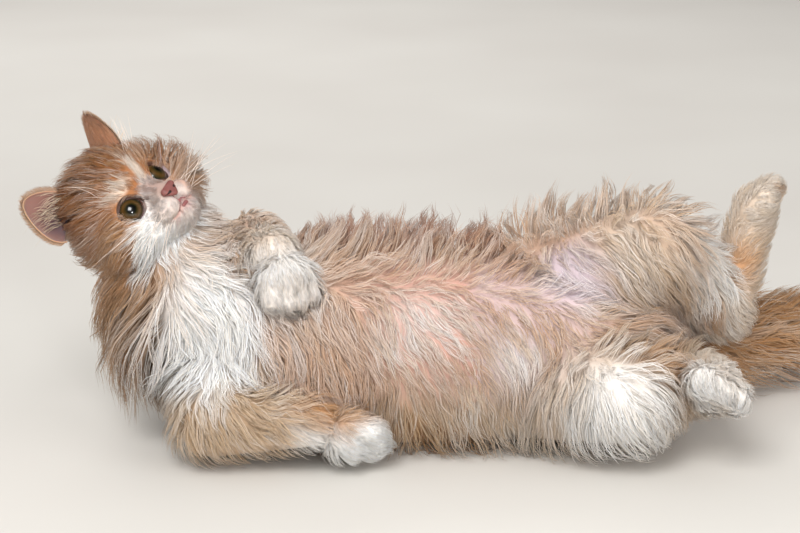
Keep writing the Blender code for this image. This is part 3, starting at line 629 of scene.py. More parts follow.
def markings_and_toe_shade(places, shares):
    """The coat's colour at each place, with painted shade in the furrows between the toes: the same rule paints the
    skin and the tufts.
    """
    kind = collections.defaultdict(float)
    for index, name in enumerate(PLAN):
        kind[KINDS[name]] = kind[KINDS[name]] + shares[:, index]
        kind[name] = shares[:, index]
    belly, left = trunk_turn(places)
    wobble = ripple(places, 68) * 0.22 + ripple(places, 26, 3.0) * 0.12
    colour = np.tile(CREAM, (len(places), 1))

    def lay(tint, weight):
        nonlocal colour
        colour = colour + (tint - colour) * np.clip(weight, 0, 1)[:, None]

    trunk = kind["abdomen"] + kind["chest"] + kind["neck"]
    far = smoothstep(-0.2, 0.35, left)
    lay(PEACH, trunk * far * smoothstep(1.0, 0.5, belly + wobble) * 0.95)
    lay(RUSSET, trunk * smoothstep(0.1, 0.6, left + wobble * 0.6) * smoothstep(0.9, 0.4, belly) * 0.75)
    lay(PEACH, trunk * smoothstep(0.6, 0.95, belly) * 0.6)
    lay(SAND, trunk * (1 - far) * smoothstep(0.8, 0.4, belly + wobble) * 0.8)
    lay(TAWNY, trunk * (1 - far) * smoothstep(0.6, 0.15, belly + wobble) * 0.9)
    lay(TAWNY, trunk * smoothstep(0.1, -0.5, belly + wobble))
    x = places[:, 0] / MM
    lay(SAND, kind["upper_arm_right"] * 0.5 + kind["forearm_right"] * 0.45)
    lay(WHITE, kind["forearm_right"] * smoothstep(-82, -56, x) * smoothstep(46, 34, places[:, 2] / MM) * 0.8)
    lay(PEACH, (kind["forearm_left"] + kind["upper_arm_left"]) * 0.4)
    lay(IVORY, kind["upper_arm_left"] * 0.4 + kind["forearm_left"] * smoothstep(10, -25, places[:, 1] / MM) * 0.8)
    lay(PEACH, (kind["thigh_left"] + kind["shank_left"]) * smoothstep(0.3, 0.9, left) * 0.4)
    lay(SAND, kind["shank_right"] * 0.6)
    lay(WHITE, kind["paw_fore_right"] + kind["paw_fore_left"] * 0.65 + kind["paw_hind_right"] * 0.9)
    lay(IVORY, kind["paw_hind_left"] * 0.9 + kind["hind_foot_right"] * 0.7 + kind["neck"] * 0.6)
    lay(WHITE, wrist(places, shares, "left") * 0.5 + wrist(places, shares, "right") * smoothstep(30, 16, places[:, 2] / MM) * 0.6)
    tail = kind["tail_root"] + kind["tail_middle"] + kind["tail_end"]
    lay(TAWNY, tail)
    lay(ORANGE, tail * smoothstep(-0.3, 0.4, wobble) * 0.7)
    lay(IVORY, trunk * smoothstep(0.30, 0.75, ripple(places, 44, 9.0)) * smoothstep(0.2, 0.7, belly) * 0.5)
    for middle, sizes, soft, strength, tint in PATCHES:
        reach = np.linalg.norm((places / MM - np.array(middle)) / np.array(sizes), axis=1)
        lay(tint, (1 - kind["head"]) * strength * smoothstep(1 + soft, 1 - soft, reach + wobble))
    nape = smoothstep(-148, -160, places[:, 0] / MM + wobble * 14) * (1 - kind["head"])
    lay(TAWNY, nape * 0.95)
    lay(ORANGE, nape * smoothstep(100, 125, places[:, 2] / MM) * 0.6)
    dark = np.sin(places[:, 2] / MM * 0.30 + places[:, 1] / MM * 0.22 + wobble * 5)
    lay(SMOKE, nape * smoothstep(0.35, 0.9, dark) * 0.3)
    # Painted shade: the coat is darkened in the furrows between the toes.
    colour = colour * (1 - 0.30 * toe_gaps(places))[:, None]
    return head_markings(places, kind["head"], wobble, colour)


def head_markings(places, share, wobble, colour):
    """The ginger mask, its tabby streaks, the white blaze and the white muzzle and cheeks."""
    across, forward, up = head_places(places).T
    side = np.abs(across)
    head = smoothstep(0.15, 0.6, share)

    def lay(tint, weight):
        nonlocal colour
        colour = colour + (tint - colour) * np.clip(head * weight, 0, 1)[:, None]

    lay(GINGER, 1)
    lay(CREAM, smoothstep(0.1, 0.8, ripple(places, 16, 2.0)) * 0.30)
    streaks = np.sin(across * 0.85 + np.sin(up * 0.2) * 0.9) * smoothstep(6, 14, up) * smoothstep(30, 20, side)
    lay(DEEP_GINGER, smoothstep(0.2, 0.9, streaks + wobble) * 0.5)
    rings = np.sin(up * 0.55 + forward * 0.35) * smoothstep(18, 28, side) * smoothstep(18, 0, forward)
    lay(SMOKE, smoothstep(0.3, 0.95, rings + wobble) * smoothstep(-4, -16, forward) * 0.4)
    lay(DEEP_GINGER, smoothstep(0.2, 0.9, rings + wobble) * 0.3)
    middle = np.interp(up, (-8, 14, 30), (1, -9, -14))
    blaze = smoothstep(5.5, 1.5, np.abs(across - middle) + wobble * 6 + smoothstep(5, 30, up) * 2.5)
    lay(IVORY, blaze * smoothstep(24, 10, up) * smoothstep(4, 12, forward) * 0.8)
    spot = np.linalg.norm(np.stack((across - 12, up - 9), axis=1) / np.array((9, 4)), axis=1)
    lay(IVORY, smoothstep(1.5, 0.6, spot) * smoothstep(4, 12, forward) * 0.65)
    under_eye = smoothstep(1.3, 0.5, np.linalg.norm(np.stack((side - 29, up + 4), axis=1) / np.array((10, 8)), axis=1))
    lay(DEEP_GINGER, under_eye * smoothstep(0, 10, forward) * 0.35)
    white = smoothstep(14, 22, forward * 0.55 - up * 0.85 - side * 0.25 + wobble * 8)
    lay(WHITE, white)
    nose = np.linalg.norm(places - NOSE_TIP, axis=1) / MM
    lay(MUZZLE, white * smoothstep(27, 15, nose) * 0.85)
    lay(PEACH, white * smoothstep(-5, -12, across) * smoothstep(-36, -26, up) * 0.9)
    lay(ORANGE, smoothstep(-12, -19, across) * smoothstep(-38, -26, up) * 0.75)
    lay(GINGER, smoothstep(-15, -22, across) * smoothstep(-20, -8, up) * 0.8)
    lay(ORANGE, smoothstep(16, 28, across) * smoothstep(10, -10, up) * (1 - white) * 0.8)
    lay(BRIDGE, smoothstep(9, 4, side) * smoothstep(-21, -14, up) * smoothstep(3, -4, up) * smoothstep(22, 27, forward) * 0.8)
    for hand in (1, -1):
        lid = distances(places, lid_places(hand, (EYE_RADIUS + 1.4) * MM, 40)) / MM
        middle, (inwards, upwards, _) = eye_frame(hand)
        below = smoothstep(1, -4, (places - middle) @ upwards / MM) * smoothstep(6, 1, (places - middle) @ inwards / MM)
        lay(TEAR_BROWN + (LILAC_SKIN - TEAR_BROWN) * below[:, None], smoothstep(1.9, 1.1, lid) * 0.85)
        inner = lid_places(hand, (EYE_RADIUS + 1.6) * MM, 48)[1]
        way = unit(on_side((6.5, 35, -13), hand) - inner)
        tear = inner + way * np.linspace(0, 7 * MM, 8)[:, None]
        lay(TEAR_BROWN, smoothstep(1.9, 0.7, distances(places, tear) / MM) * 0.75)
    lip = distances(places, MOUTH) / MM
    lay(PINK_SKIN, smoothstep(2.4, 0.8, lip) * 0.7)
    below_lip = np.linalg.norm(places - in_head(0, LIP_MIDDLE[1], LIP_MIDDLE[2] - 2), axis=1) / MM
    lay(LIP_PINK, smoothstep(6.5, 2.5, below_lip) * 0.75)
    return colour


def toe_gaps(places):
    """How near each place is to a furrow between two toes, from 0 to 1."""
    gap = np.zeros(len(places))
    for name, (*_, radius, spread) in PAWS.items():
        ball, forward, across = paw_frame(name)
        out = (places - ball.middle) / MM
        aside, ahead = out @ across / (radius * spread), out @ forward
        near = smoothstep(30, 24, np.linalg.norm(out, axis=1)) * smoothstep(3, 9, ahead)
        for furrow in (-1, 0, 1):
            gap = np.maximum(gap, near * np.exp(-(((aside - furrow) / 0.13) ** 2)))
    return gap


def wrist(places, shares, side):
    """How near each place is to the wrist of a foreleg, from 0 to 1."""
    ball, forward, _ = paw_frame("paw_fore_" + side)
    behind = -((places - ball.middle) / MM) @ forward
    limb = shares[:, list(PLAN).index("forearm_" + side)] + shares[:, list(PLAN).index("paw_fore_" + side)]
    return limb * smoothstep(-4, 7, behind) * smoothstep(32, 14, behind)


def bare(places, shares):
    """How thin the hair is at each place, where the skin's own colour shows."""
    belly, _ = trunk_turn(places)
    x = places[:, 0] / MM
    abdomen = shares[:, list(PLAN).index("abdomen")]
    middle = abdomen * smoothstep(0.35, 0.9, belly) * smoothstep(-50, 0, x) * smoothstep(150, 110, x)
    groin = np.linalg.norm((places / MM - np.array((108, -20, 112))) / np.array((26, 22, 24)), axis=1)
    return np.maximum(middle * 0.8, smoothstep(1.3, 0.5, groin))


def in_order(corners):
    """Triangles in an order that is the same in each run, as a remesh hands them over in any order."""
    rows = np.arange(len(corners))[:, None]
    turned = corners[rows, (corners.argmin(axis=1)[:, None] + np.arange(3)) % 3]
    return turned[np.lexsort((turned[:, 2], turned[:, 1], turned[:, 0]))]


class Skin:
    """The finished skin with what the coat needs to know at each of its faces."""

    def __init__(self, obj):
        mesh = obj.data
        self.obj = obj
        self.places = vertex_array(mesh)
        self.corners = np.empty(len(mesh.loops), np.int32)
        mesh.loops.foreach_get("vertex_index", self.corners)
        self.corners = in_order(self.corners.reshape(-1, 3))
        self.shares = piece_shares(self.places)
        self.tree = BVHTree.FromPolygons(self.places.tolist(), self.corners.tolist())
        a, b, c = (self.places[self.corners[:, i]] for i in range(3))
        whole = np.repeat(np.cross(b - a, c - a), 3, axis=0)
        self.area = np.linalg.norm(whole[::3], axis=1) / 2
        normals = [np.bincount(self.corners.ravel(), weights=column, minlength=len(self.places)) for column in whole.T]
        self.normals = unit(self.blurred(unit(np.stack(normals, axis=1)), 3))
        self.set_fields()
        self.face_normal = unit(self.on_faces(self.normals))
        self.face_way = unit(self.on_faces(self.way))

    def blurred(self, values, rounds):
        """Values at the vertices, each made the mean of its faces' values a few times."""
        count = np.bincount(self.corners.ravel(), minlength=len(self.places)).clip(1)
        for _ in range(rounds):
            faces = values[self.corners].mean(axis=1)
            values = np.stack(
                [
                    np.bincount(self.corners.ravel(), weights=np.repeat(column, 3), minlength=len(self.places)) / count
                    for column in faces.T
                ],
                axis=1,
            )
        return values

    def on_faces(self, values):
        return values[self.corners].mean(axis=1)

    def set_fields(self):
        """Works out the coat's length, stand, spacing, width and lie at each vertex."""
        names = list(PLAN)
        table = np.array([COATS[KINDS[name]] for name in names])
        length, stand, space, width, lift, swirl = (self.shares @ table[:, i] for i in range(6))
        from_nose = unit(self.places - NOSE_TIP)
        way = np.zeros_like(self.places)
        for index, name in enumerate(names):
            coat, share = COATS[KINDS[name]], self.shares[:, index][:, None]
            way += share * (way_of(name) * coat.along - BELLY * coat.outwards + from_nose * coat.from_nose + DOWN * coat.hang)
        head = self.shares[:, names.index("head")]
        across, forward, up = head_places(self.places).T
        nose = np.linalg.norm(self.places - NOSE_TIP, axis=1) / MM
        face = np.interp(nose, *LENGTHS_BY_NOSE)
        far = smoothstep(0, -16, across)
        ruff = smoothstep(14 - 3 * far, 30 - 6 * far, np.abs(across)) * smoothstep(14, -8, up) * smoothstep(20 - 5 * far, 34 - 8 * far, nose)
        temple = smoothstep(17, 27, np.abs(across)) * smoothstep(22, 32, nose) * smoothstep(26, 12, up)
        crown = smoothstep(14, 28, up) * smoothstep(40, 52, nose)
        chin = smoothstep(-27, -36, up) * smoothstep(12, 22, forward)
        face = face + (5 + 6 * far) * ruff + 7 * far * temple + 7 * crown + 4 * chin
        face_stand = np.clip((face - 7 * crown) * 0.26, 0.3, 8)
        face_stand += (4 + 5 * far) * ruff + (1.5 + 3.5 * far) * temple + 7.5 * crown + 1.2 * chin
        face_space = np.interp(nose, *SPACE_BY_NOSE) * (1 - 0.15 * far * temple)
        length = length + (face - length) * head
        stand = stand + (face_stand - stand) * head
        space = space + (face_space - space) * head
        width = width + (face_space * 0.32 - width) * head
        for name, longer, higher, above in PUFFS:
            share = self.shares[:, names.index(name)] * (1 - above * smoothstep(0.5, -0.3, self.normals[:, 2]))
            if name == "forearm_right":
                share = share * smoothstep(-44, -74, self.places[:, 0] / MM)
            length, stand = length + longer * share, stand + higher * share
        for side in ("right", "left"):
            near_wrist = wrist(self.places, self.shares, side)
            length, stand = length + 5 * near_wrist, stand + 3.6 * near_wrist
        ruff = self.shares[:, names.index("chest")] + self.shares[:, names.index("neck")]
        mane = ruff * smoothstep(0.1, 0.7, -self.normals[:, 0]) * smoothstep(66, 96, self.places[:, 2] / MM)
        length, stand = length + 12 * mane, stand + 12 * mane
        ruff = ruff * smoothstep(0.0, 0.7, -self.normals[:, 0])
        length, stand = length + 9 * ruff, stand + 10 * ruff
        gaps = toe_gaps(self.places)
        length, stand = length * (1 - 0.5 * gaps), stand * (1 - 0.75 * gaps)
        thin = bare(self.places, self.shares)
        length = length * (1 - 0.5 * thin)
        stand = stand * (1 - 0.58 * thin)
        width = width * (1 - 0.3 * thin)
        self.lift = lift * smoothstep(0.15, 0.75, self.normals @ unit((0.0, 0.5, 0.87)))
        for _, side in SIDES:
            to_eye = on_side(EYE, side) - self.places
            near = smoothstep(EYE_RADIUS + 9, EYE_RADIUS + 2.5, np.linalg.norm(to_eye, axis=1) / MM)[:, None]
            to_eye = unit(to_eye - self.normals * (to_eye * self.normals).sum(axis=1, keepdims=True))
            way = unit(way) - to_eye * near * ((unit(way) * to_eye).sum(axis=1, keepdims=True).clip(0) * 1.1 + 0.06)
        way = way - self.normals * (way * self.normals).sum(axis=1, keepdims=True)
        way = self.blurred(unit(way), 5)
        way = unit(way - self.normals * (way * self.normals).sum(axis=1, keepdims=True))
        turn = ((0.55 * ripple(self.places, 120) + 0.45 * ripple(self.places, 52, 5.0)) * swirl)[:, None]
        self.way, self.thin = way * np.cos(turn) + np.cross(self.normals, way) * np.sin(turn), thin
        self.length, self.stand, self.space, self.width = length, stand, space, width
        self.colour = markings_and_toe_shade(self.places, self.shares)

    def hairless(self, places):
        """True where nothing grows: the nose leather, the lips and the eyes."""
        none = distances(places, [NOSE_TIP, on_side(NOSE_WING[0], 1), on_side(NOSE_WING[0], -1)]) < 3.4 * MM
        none |= distances(places, MOUTH) < 1.0 * MM
        for _, side in SIDES:
            middle, (_, _, look) = eye_frame(side)
            out = places - middle
            ahead = unit(out) @ look
            near = np.linalg.norm(out, axis=1) < (EYE_RADIUS + 3.2) * MM
            none |= near & (ahead > math.cos(math.radians(57.5)))
            none |= near & (distances(places, lid_places(side, (EYE_RADIUS + 1.4) * MM, 40)) < 0.3 * MM)
        none |= places[:, 2] < 0.9 * MM
        return none

    def roots(self, density, draw):
        """Places spread over the skin, this many for each square metre of each face, and the faces they are on."""
        count = np.floor(self.area * density + draw.random(len(self.area))).astype(int)
        faces = np.repeat(np.arange(len(self.area)), count)
        u, v = draw.random(len(faces)), draw.random(len(faces))
        over = u + v > 1
        u[over], v[over] = 1 - u[over], 1 - v[over]
        a, b, c = (self.places[self.corners[faces, i]] for i in range(3))
        places = a + (b - a) * u[:, None] + (c - a) * v[:, None]
        grows = ~self.hairless(places)
        return places[grows], faces[grows]

    def nearest(self, places):
        """The nearest places on the skin, and their faces."""
        found = [self.tree.find_nearest(place) for place in places.tolist()]
        return np.array([hit[0] for hit in found]), np.array([hit[2] for hit in found])

    def walk(self, places, faces, draw, sway, wave, wavelength, phase, spread=0.0):
        """Paths that leave the skin, follow the lie of the coat and end at its full depth."""
        face_length, face_stand = self.on_faces(self.length) * MM, self.on_faces(self.stand) * MM
        lift = self.on_faces(self.lift)[faces] * draw.uniform(0.7, 1.15, len(places))
        length = face_length[faces] * draw.uniform(0.82, 1.14, len(places))
        stand = face_stand[faces] * draw.uniform(0.7, 1.2, len(places))
        length = length * (1 + lift * spread * draw.uniform(-0.4, 1.0, len(places)))
        stand = stand + (length * 0.75 - stand) * lift
        turn = draw.normal(0, sway, len(places)) * (0.35 + 0.65 * np.minimum(1, length / (30 * MM)))
        point, normal = places.copy(), self.face_normal[faces].copy()
        path, normals = [], []
        for step in range(STEPS + 1):
            share = step / STEPS
            depth = ROOT_DEPTH * MM * np.minimum(1, length / (10 * MM))
            rise = (1 - lift) * math.sin(share * math.pi / 2) ** 1.1 + lift * share**0.9
            height = -depth + (stand + depth) * rise
            way = self.face_way[faces]
            way = unit(way - normal * (way * normal).sum(axis=1, keepdims=True))
            side = np.cross(normal, way)
            drift = wave * MM * share * np.minimum(1, length / (30 * MM))
            drift = drift * np.sin(2 * np.pi * share * length / (wavelength * MM) + phase)
            middle = point + normal * height[:, None] + side * drift[:, None]
            low = np.clip(1 - middle[:, 2] / (FLOOR_BAND * MM), 0, 1) * share * FLOOR_SPLAY * MM
            low = low * np.minimum(1, length / (30 * MM))
            middle[:, :2] += normal[:, :2] * low[:, None]
            middle[:, 2] = np.maximum(middle[:, 2], LEAST_HEIGHT * MM)
            path.append(middle)
            normals.append(normal)
            bend = (turn * math.cos(share * math.pi * 1.3))[:, None]
            pace = length / STEPS * (1 - 0.7 * lift)
            ahead, faces = self.nearest(point + unit(way + side * bend) * pace[:, None])
            point, normal = ahead, unit(normal * 0.3 + self.face_normal[faces] * 0.7)
        return np.stack(path, axis=1), np.stack(normals, axis=1), lift


def nearest_rows(places, others):
    """For each place, the row of the nearest of some others, and how far it is."""
    tree = KDTree(len(others))
    for row, other in enumerate(others.tolist()):
        tree.insert(other, row)
    tree.balance()
    found = [tree.find(place) for place in places.tolist()]
    return np.array([hit[1] for hit in found]), np.array([hit[2] for hit in found])


def gathered(roots, paths, normals, leaders, leader_paths, leader_normals, pull, reach):
    """Paths drawn towards the path of the nearest leader, more and more towards their tips."""
    rows, gaps = nearest_rows(roots, leaders)
    agree = (normals[:, 0] * leader_normals[rows, 0]).sum(axis=1)
    share = np.linspace(0, 1, STEPS + 1)[None, :] ** 1.2 * pull[:, None]
    share = share * (smoothstep(reach * 1.6, reach, gaps / MM) * smoothstep(0.2, 0.6, agree))[:, None]
    return paths + (leader_paths[rows] - paths) * share[..., None]


def at_shares(paths, shares):
    """The places at some shares of the way along each path."""
    spot = np.clip(shares, 0, 1) * STEPS
    low = np.minimum(spot.astype(int), STEPS - 1)
    rest = (spot - low)[..., None]
    rows = np.arange(len(paths))[:, None]
    return paths[rows, low] * (1 - rest) + paths[rows, low + 1] * rest


# Width along a tuft, from its root to just before its tip.
TAPER = ((0.0, 0.25, 0.6, 0.85, 1.0), (0.75, 1.0, 0.9, 0.55, 0.12))
TIP_LEAN = 0.35  # how far the shading leans along the hair at its tip, so that fur seen end on isn't dark
SOFTNESS = 0.5  # how much a tuft's own roundness shows in its shading, beside the roundness of the body under it


def tuft_mesh(paths, normals, widths, colours, spots, lean=TIP_LEAN):
    """Closed three-sided tufts along paths whose last place is the tip. Colours are given for each place of a path."""
    count, rings = paths.shape[0], paths.shape[1] - 1
    along = np.empty_like(paths)
    along[:, 1:-1] = paths[:, 2:] - paths[:, :-2]
    along[:, 0], along[:, -1] = paths[:, 1] - paths[:, 0], paths[:, -1] - paths[:, -2]
    along = unit(along)
    side = unit(np.cross(along, normals))
    out = np.cross(side, along)
    shares = np.array(RING_PLACES.get(rings, np.linspace(0, 1, rings + 1)))
    half = widths[:, None] * np.interp(shares, *TAPER)[None, :] / 2
    half = half[:, :rings, None]
    own = np.stack((side[:, :rings], out[:, :rings], -side[:, :rings]), axis=2).reshape(count, rings * 3, 3)
    soft = np.concatenate((np.repeat(normals[:, :rings], 3, axis=1), normals[:, -1:]), axis=1)
    lean = np.broadcast_to(lean, count)[:, None, None] * shares[None, :, None] * along
    soft[:, :-1] += own * SOFTNESS + np.repeat(lean[:, :rings], 3, axis=1)
    soft[:, -1] += lean[:, -1]
    middle, side, out = paths[:, :rings], side[:, :rings], out[:, :rings]
    corners = np.stack((middle + side * half, middle + out * half * 1.1, middle - side * half), axis=2)
    verts = np.concatenate((corners.reshape(count, rings * 3, 3), paths[:, -1:]), axis=1)
    tint = np.concatenate((np.repeat(colours[:, :rings], 3, axis=1), colours[:, -1:]), axis=1)
    faces = [(0, 1, 2)]
    for ring in range(rings - 1):
        for i, j in ((0, 1), (1, 2), (2, 0)):
            near, far = ring * 3, ring * 3 + 3
            faces += [(near + j, near + i, far + i), (near + j, far + i, far + j)]
    last = (rings - 1) * 3
    faces += [(last + j, last + i, last + 3) for i, j in ((0, 1), (1, 2), (2, 0))]
    faces = np.array(faces)
    size = rings * 3 + 1
    every = (faces[None] + np.arange(count)[:, None, None] * size).reshape(-1, 3)
    patch = np.zeros((size, 2))
    patch[:-1, 0] = np.tile((0.0, 0.5, 1.0), rings)
    patch[:-1, 1] = np.repeat(shares[:rings], 3)
    patch[-1] = (0.5, 1.0)
    spots = spots[:, None] + (patch[None] - 0.5) * 0.003
    return verts.reshape(-1, 3), every, tint.reshape(-1, 3), spots.reshape(-1, 2), unit(soft).reshape(-1, 3)


def mesh_piece(name, parts, material, soft=True):
    """One object from several lots of tufts, with their colours and their map, shaded softly with the body or not."""
    starts = np.cumsum([0] + [len(part[0]) for part in parts])
    verts, _, tints, spots, normals = (np.concatenate(rows) for rows in zip(*parts))
    faces = np.concatenate([part[1] + start for part, start in zip(parts, starts)])
    mesh = bpy.data.meshes.new(name)
    mesh.vertices.add(len(verts))
    mesh.vertices.foreach_set("co", verts.astype(np.float32).ravel())
    mesh.loops.add(faces.size)
    mesh.loops.foreach_set("vertex_index", faces.astype(np.int32).ravel())
    mesh.polygons.add(len(faces))
    mesh.polygons.foreach_set("loop_start", np.arange(0, faces.size, 3, dtype=np.int32))
    mesh.update(calc_edges=True)
    paint(mesh, tints)
    layer = mesh.uv_layers.new(name="OFBake")
    layer.uv.foreach_set("vector", np.clip(spots[faces.ravel()], 0, 1).astype(np.float32).ravel())
    mesh.shade_smooth()
    if soft:
        mesh.normals_split_custom_set_from_vertices(normals.tolist())
    mesh.materials.append(material)
    obj = bpy.data.objects.new(name, mesh)
    bpy.context.scene.collection.objects.link(obj)
    return obj


def paint(mesh, tints):
    """Keeps a colour for each vertex of a mesh."""
    layer = mesh.color_attributes.new("coat_colour", "FLOAT_COLOR", "POINT")
    values = np.ones((len(tints), 4), np.float32)
    values[:, :3] = tints
    layer.data.foreach_set("color", values.ravel())


class SkinMap:
    """An unwrap of the skin's own shape, made on a coarser copy of it."""

    def __init__(self, skin):
        copy = bpy.data.objects.new("skin_map", skin.data.copy())
        bpy.context.scene.collection.objects.link(copy)
        fewer = copy.modifiers.new("fewer", "DECIMATE")
        fewer.ratio = 9000 / len(copy.data.polygons)
        worked_in(copy)
        bpy.context.view_layer.objects.active = copy
        copy.select_set(True)
        bpy.ops.object.mode_set(mode="EDIT")
        bpy.ops.mesh.select_all(action="SELECT")
        bpy.ops.uv.smart_project(angle_limit=math.radians(60), island_margin=0.002)
        bpy.ops.object.mode_set(mode="OBJECT")
        mesh = copy.data
        self.places = vertex_array(mesh)
        corners = np.empty(len(mesh.loops), np.int32)
        mesh.loops.foreach_get("vertex_index", corners)
        spots = np.empty(len(mesh.loops) * 2, np.float32)
        mesh.uv_layers.active.uv.foreach_get("vector", spots)
        self.corners, self.spots = corners.reshape(-1, 3), spots.reshape(-1, 3, 2)
        self.tree = BVHTree.FromPolygons(self.places.tolist(), self.corners.tolist())
        bpy.data.objects.remove(copy)

    def at(self, places):
        """The places on the map of some places near the skin."""
        found = [self.tree.find_nearest(place) for place in places.tolist()]
        on = np.array([hit[0] for hit in found])
        faces = np.array([hit[2] for hit in found])
        a, b, c = (self.places[self.corners[faces, i]] for i in range(3))
        whole = np.cross(b - a, c - a)
        area = (whole * whole).sum(axis=1)
        second = (np.cross(on - a, c - a) * whole).sum(axis=1) / area
        third = (np.cross(b - a, on - a) * whole).sum(axis=1) / area
        shares = np.stack((1 - second - third, second, third), axis=1)
        return (self.spots[faces] * shares[..., None]).sum(axis=1)


def grow_coat(skin, skin_map, material):
    """The whole coat: big locks lead fine wisps, and the wisps lead the tufts."""
    draw = np.random.default_rng(SEED)
    face = {name: skin.on_faces(getattr(skin, name)) for name in ("space", "length", "width", "thin")}
    lock_roots, lock_faces = skin.roots(1 / (LOCK_SPACE * MM * (0.45 + 0.55 * np.minimum(1, face["length"] / 30))) ** 2, draw)
    phase = draw.uniform(0, 2 * np.pi, len(lock_roots))
    locks, lock_normals, _ = skin.walk(lock_roots, lock_faces, draw, 0.66, 4.6, 27, phase, 0.45)
    wisp_roots, wisp_faces = skin.roots(1 / (WISP_SHARE * face["space"] * MM) ** 2, draw)
    rows, _ = nearest_rows(wisp_roots, lock_roots)
    streak = draw.normal(0, 1, len(lock_roots))[rows] + draw.normal(0, 0.4, len(rows))
    wave_phase = phase[rows] + draw.normal(0, 0.9, len(rows))
    wisps, wisp_normals, lift = skin.walk(wisp_roots, wisp_faces, draw, 0.30, 2.9, 20, wave_phase)
    pull = np.minimum(0.95, 0.58 + 0.50 * lift)
    wisps = gathered(wisp_roots, wisps, wisp_normals, lock_roots, locks, lock_normals, pull, LOCK_SPACE)
    under = smoothstep(0.4, -0.4, skin.face_normal[:, 2]) * smoothstep(60, 20, skin.on_faces(skin.places)[:, 2] / MM)
    feet = [index for index, name in enumerate(PLAN) if KINDS[name] in ("paw_fore", "paw_hind", "hind_foot")]
    under = under * (1 - skin.on_faces(skin.shares)[:, feet].sum(axis=1))
    roots, faces = skin.roots((1 - 0.78 * under) / (face["space"] * MM) ** 2, draw)
    rows, gaps = nearest_rows(roots, wisp_roots)
    agree = (skin.face_normal[faces] * wisp_normals[rows, 0]).sum(axis=1)
    kept = (gaps < 9 * MM) & (agree > 0.3)
    roots, faces, rows = roots[kept], faces[kept], rows[kept]
    length = face["length"][faces]
    wide = face["width"][faces] * MM * draw.uniform(0.75, 1.25, len(roots))
    names = list(PLAN)
    shares = skin.on_faces(skin.shares)[faces]
    piece = np.array([KINDS[name] for name in names])[shares.argmax(axis=1)]
    colour = markings_and_toe_shade(roots, shares)
    chance = draw.random(len(roots))[:, None]
    colour = colour + (WHITE - colour) * (chance < 0.12) * 0.22
    colour = colour * np.where(chance > 0.88, 0.84, 1.0) * np.exp(draw.normal(0, 0.06, len(roots)))[:, None]
    warm = np.clip(draw.normal(0, 0.08, len(roots)), -0.15, 0.25)[:, None]
    colour = colour * (1 + warm * np.array((0.0, -0.35, -0.8)))
    streak = (streak[rows] * (1 - 0.7 * shares[:, feet].sum(axis=1)) * (1 - 0.4 * shares[:, names.index("head")]))[:, None]
    tinted = (1.25 - colour.mean(axis=1, keepdims=True)).clip(0, 1)
    colour = colour * np.exp(streak.clip(-2, 0) * tinted * np.array((0.06, 0.10, 0.16)))
    colour = np.clip(colour + (WHITE - colour) * streak.clip(0, 2) * 0.09, 0.01, 0.95)
    spots = skin_map.at(roots)
    least, counts = np.array(TUFT_RINGS).T
    rings = counts[np.searchsorted(least, length, side="right") - 1]
    reach = draw.uniform(0.62, 1.0, len(roots))
    head = shares[:, names.index("head")]
    bind = np.minimum(0.92, 0.42 + 0.60 * lift[rows]) * (1 - 0.5 * head) * (1 - 0.6 * shares[:, feet].sum(axis=1))
    stray = (0.035 + 0.03 * head) * length * MM
    lean = TIP_LEAN + 0.6 * shares[:, feet].sum(axis=1)
    made = []
    for region, slot, kinds in REGIONS:
        inside = np.flatnonzero(np.isin(piece, kinds))
        inside = inside[np.argsort(roots[inside, 0], kind="stable")]
        triangles = rings[inside] * 6 - 2
        lots = np.cumsum(triangles) // PIECE_TRIANGLES
        for lot in range(lots.max() + 1):
            parts = []
            for count in sorted(set(rings)):
                these = inside[(lots == lot) & (rings[inside] == count)]
                if not len(these):
                    continue
                along = np.array(RING_PLACES[count])[None, :] * reach[these][:, None]
                path = at_shares(wisps[rows[these]], along)
                normal = unit(at_shares(wisp_normals[rows[these]], along))
                offset = (roots[these] - wisp_roots[rows[these]])[:, None]
                path += offset * (1 - bind[these][:, None, None] * along[..., None] ** 0.8)
                path += draw.normal(0, 1, (len(these), 1, 3)) * stray[these][:, None, None] * along[..., None] ** 1.4
                path[..., 2] = np.maximum(path[..., 2], LEAST_HEIGHT * 0.6 * MM)
                # Painted shade: each tuft is darker at its root, deep in the coat, and a touch lighter at its tip.
                shade = np.interp(along, (0, 0.4, 0.8, 1.0), (0.92, 0.97, 1.0, 1.03))[..., None]
                tints = np.clip(colour[these][:, None] * shade, 0, 0.97)
                parts.append(tuft_mesh(path, normal, wide[these], tints, spots[these], lean[these]))
            name = region + ("_%d" % (lot + 1) if lots.max() else "")
            obj = mesh_piece(name, parts, material)
            made.append(obj)
    print("tufts", len(roots), "triangles", int((rings * 6 - 2).sum()))
    return made


def add_node(tree, kind, settings=None, links=None):
    """Adds a node, sets its values and fields, and links sockets into its inputs."""
    made = tree.nodes.new(kind)
    for name, value in (settings or {}).items():
        if name == "ramp":
            elements = made.color_ramp.elements
            while len(elements) < len(value):
                elements.new(0.5)
            for element, (place, colour) in zip(elements, value):
                element.position = place
                element.color = (*linear(colour), 1)
        elif isinstance(name, int) or name in made.inputs:
            made.inputs[name].default_value = value
        else:
            setattr(made, name, value)
    for name, socket in (links or {}).items():
        tree.links.new(socket, made.inputs[name])
    return made


def new_material(name):
    """A material with its shader and output, ready for its pattern."""
    material = bpy.data.materials.new(name)
    material.use_nodes = True
    tree = material.node_tree
    return material, tree, tree.nodes["Principled BSDF"]


def set_shader(shader, **values):
    for name, value in values.items():
        shader.inputs[name.replace("_", " ")].default_value = value


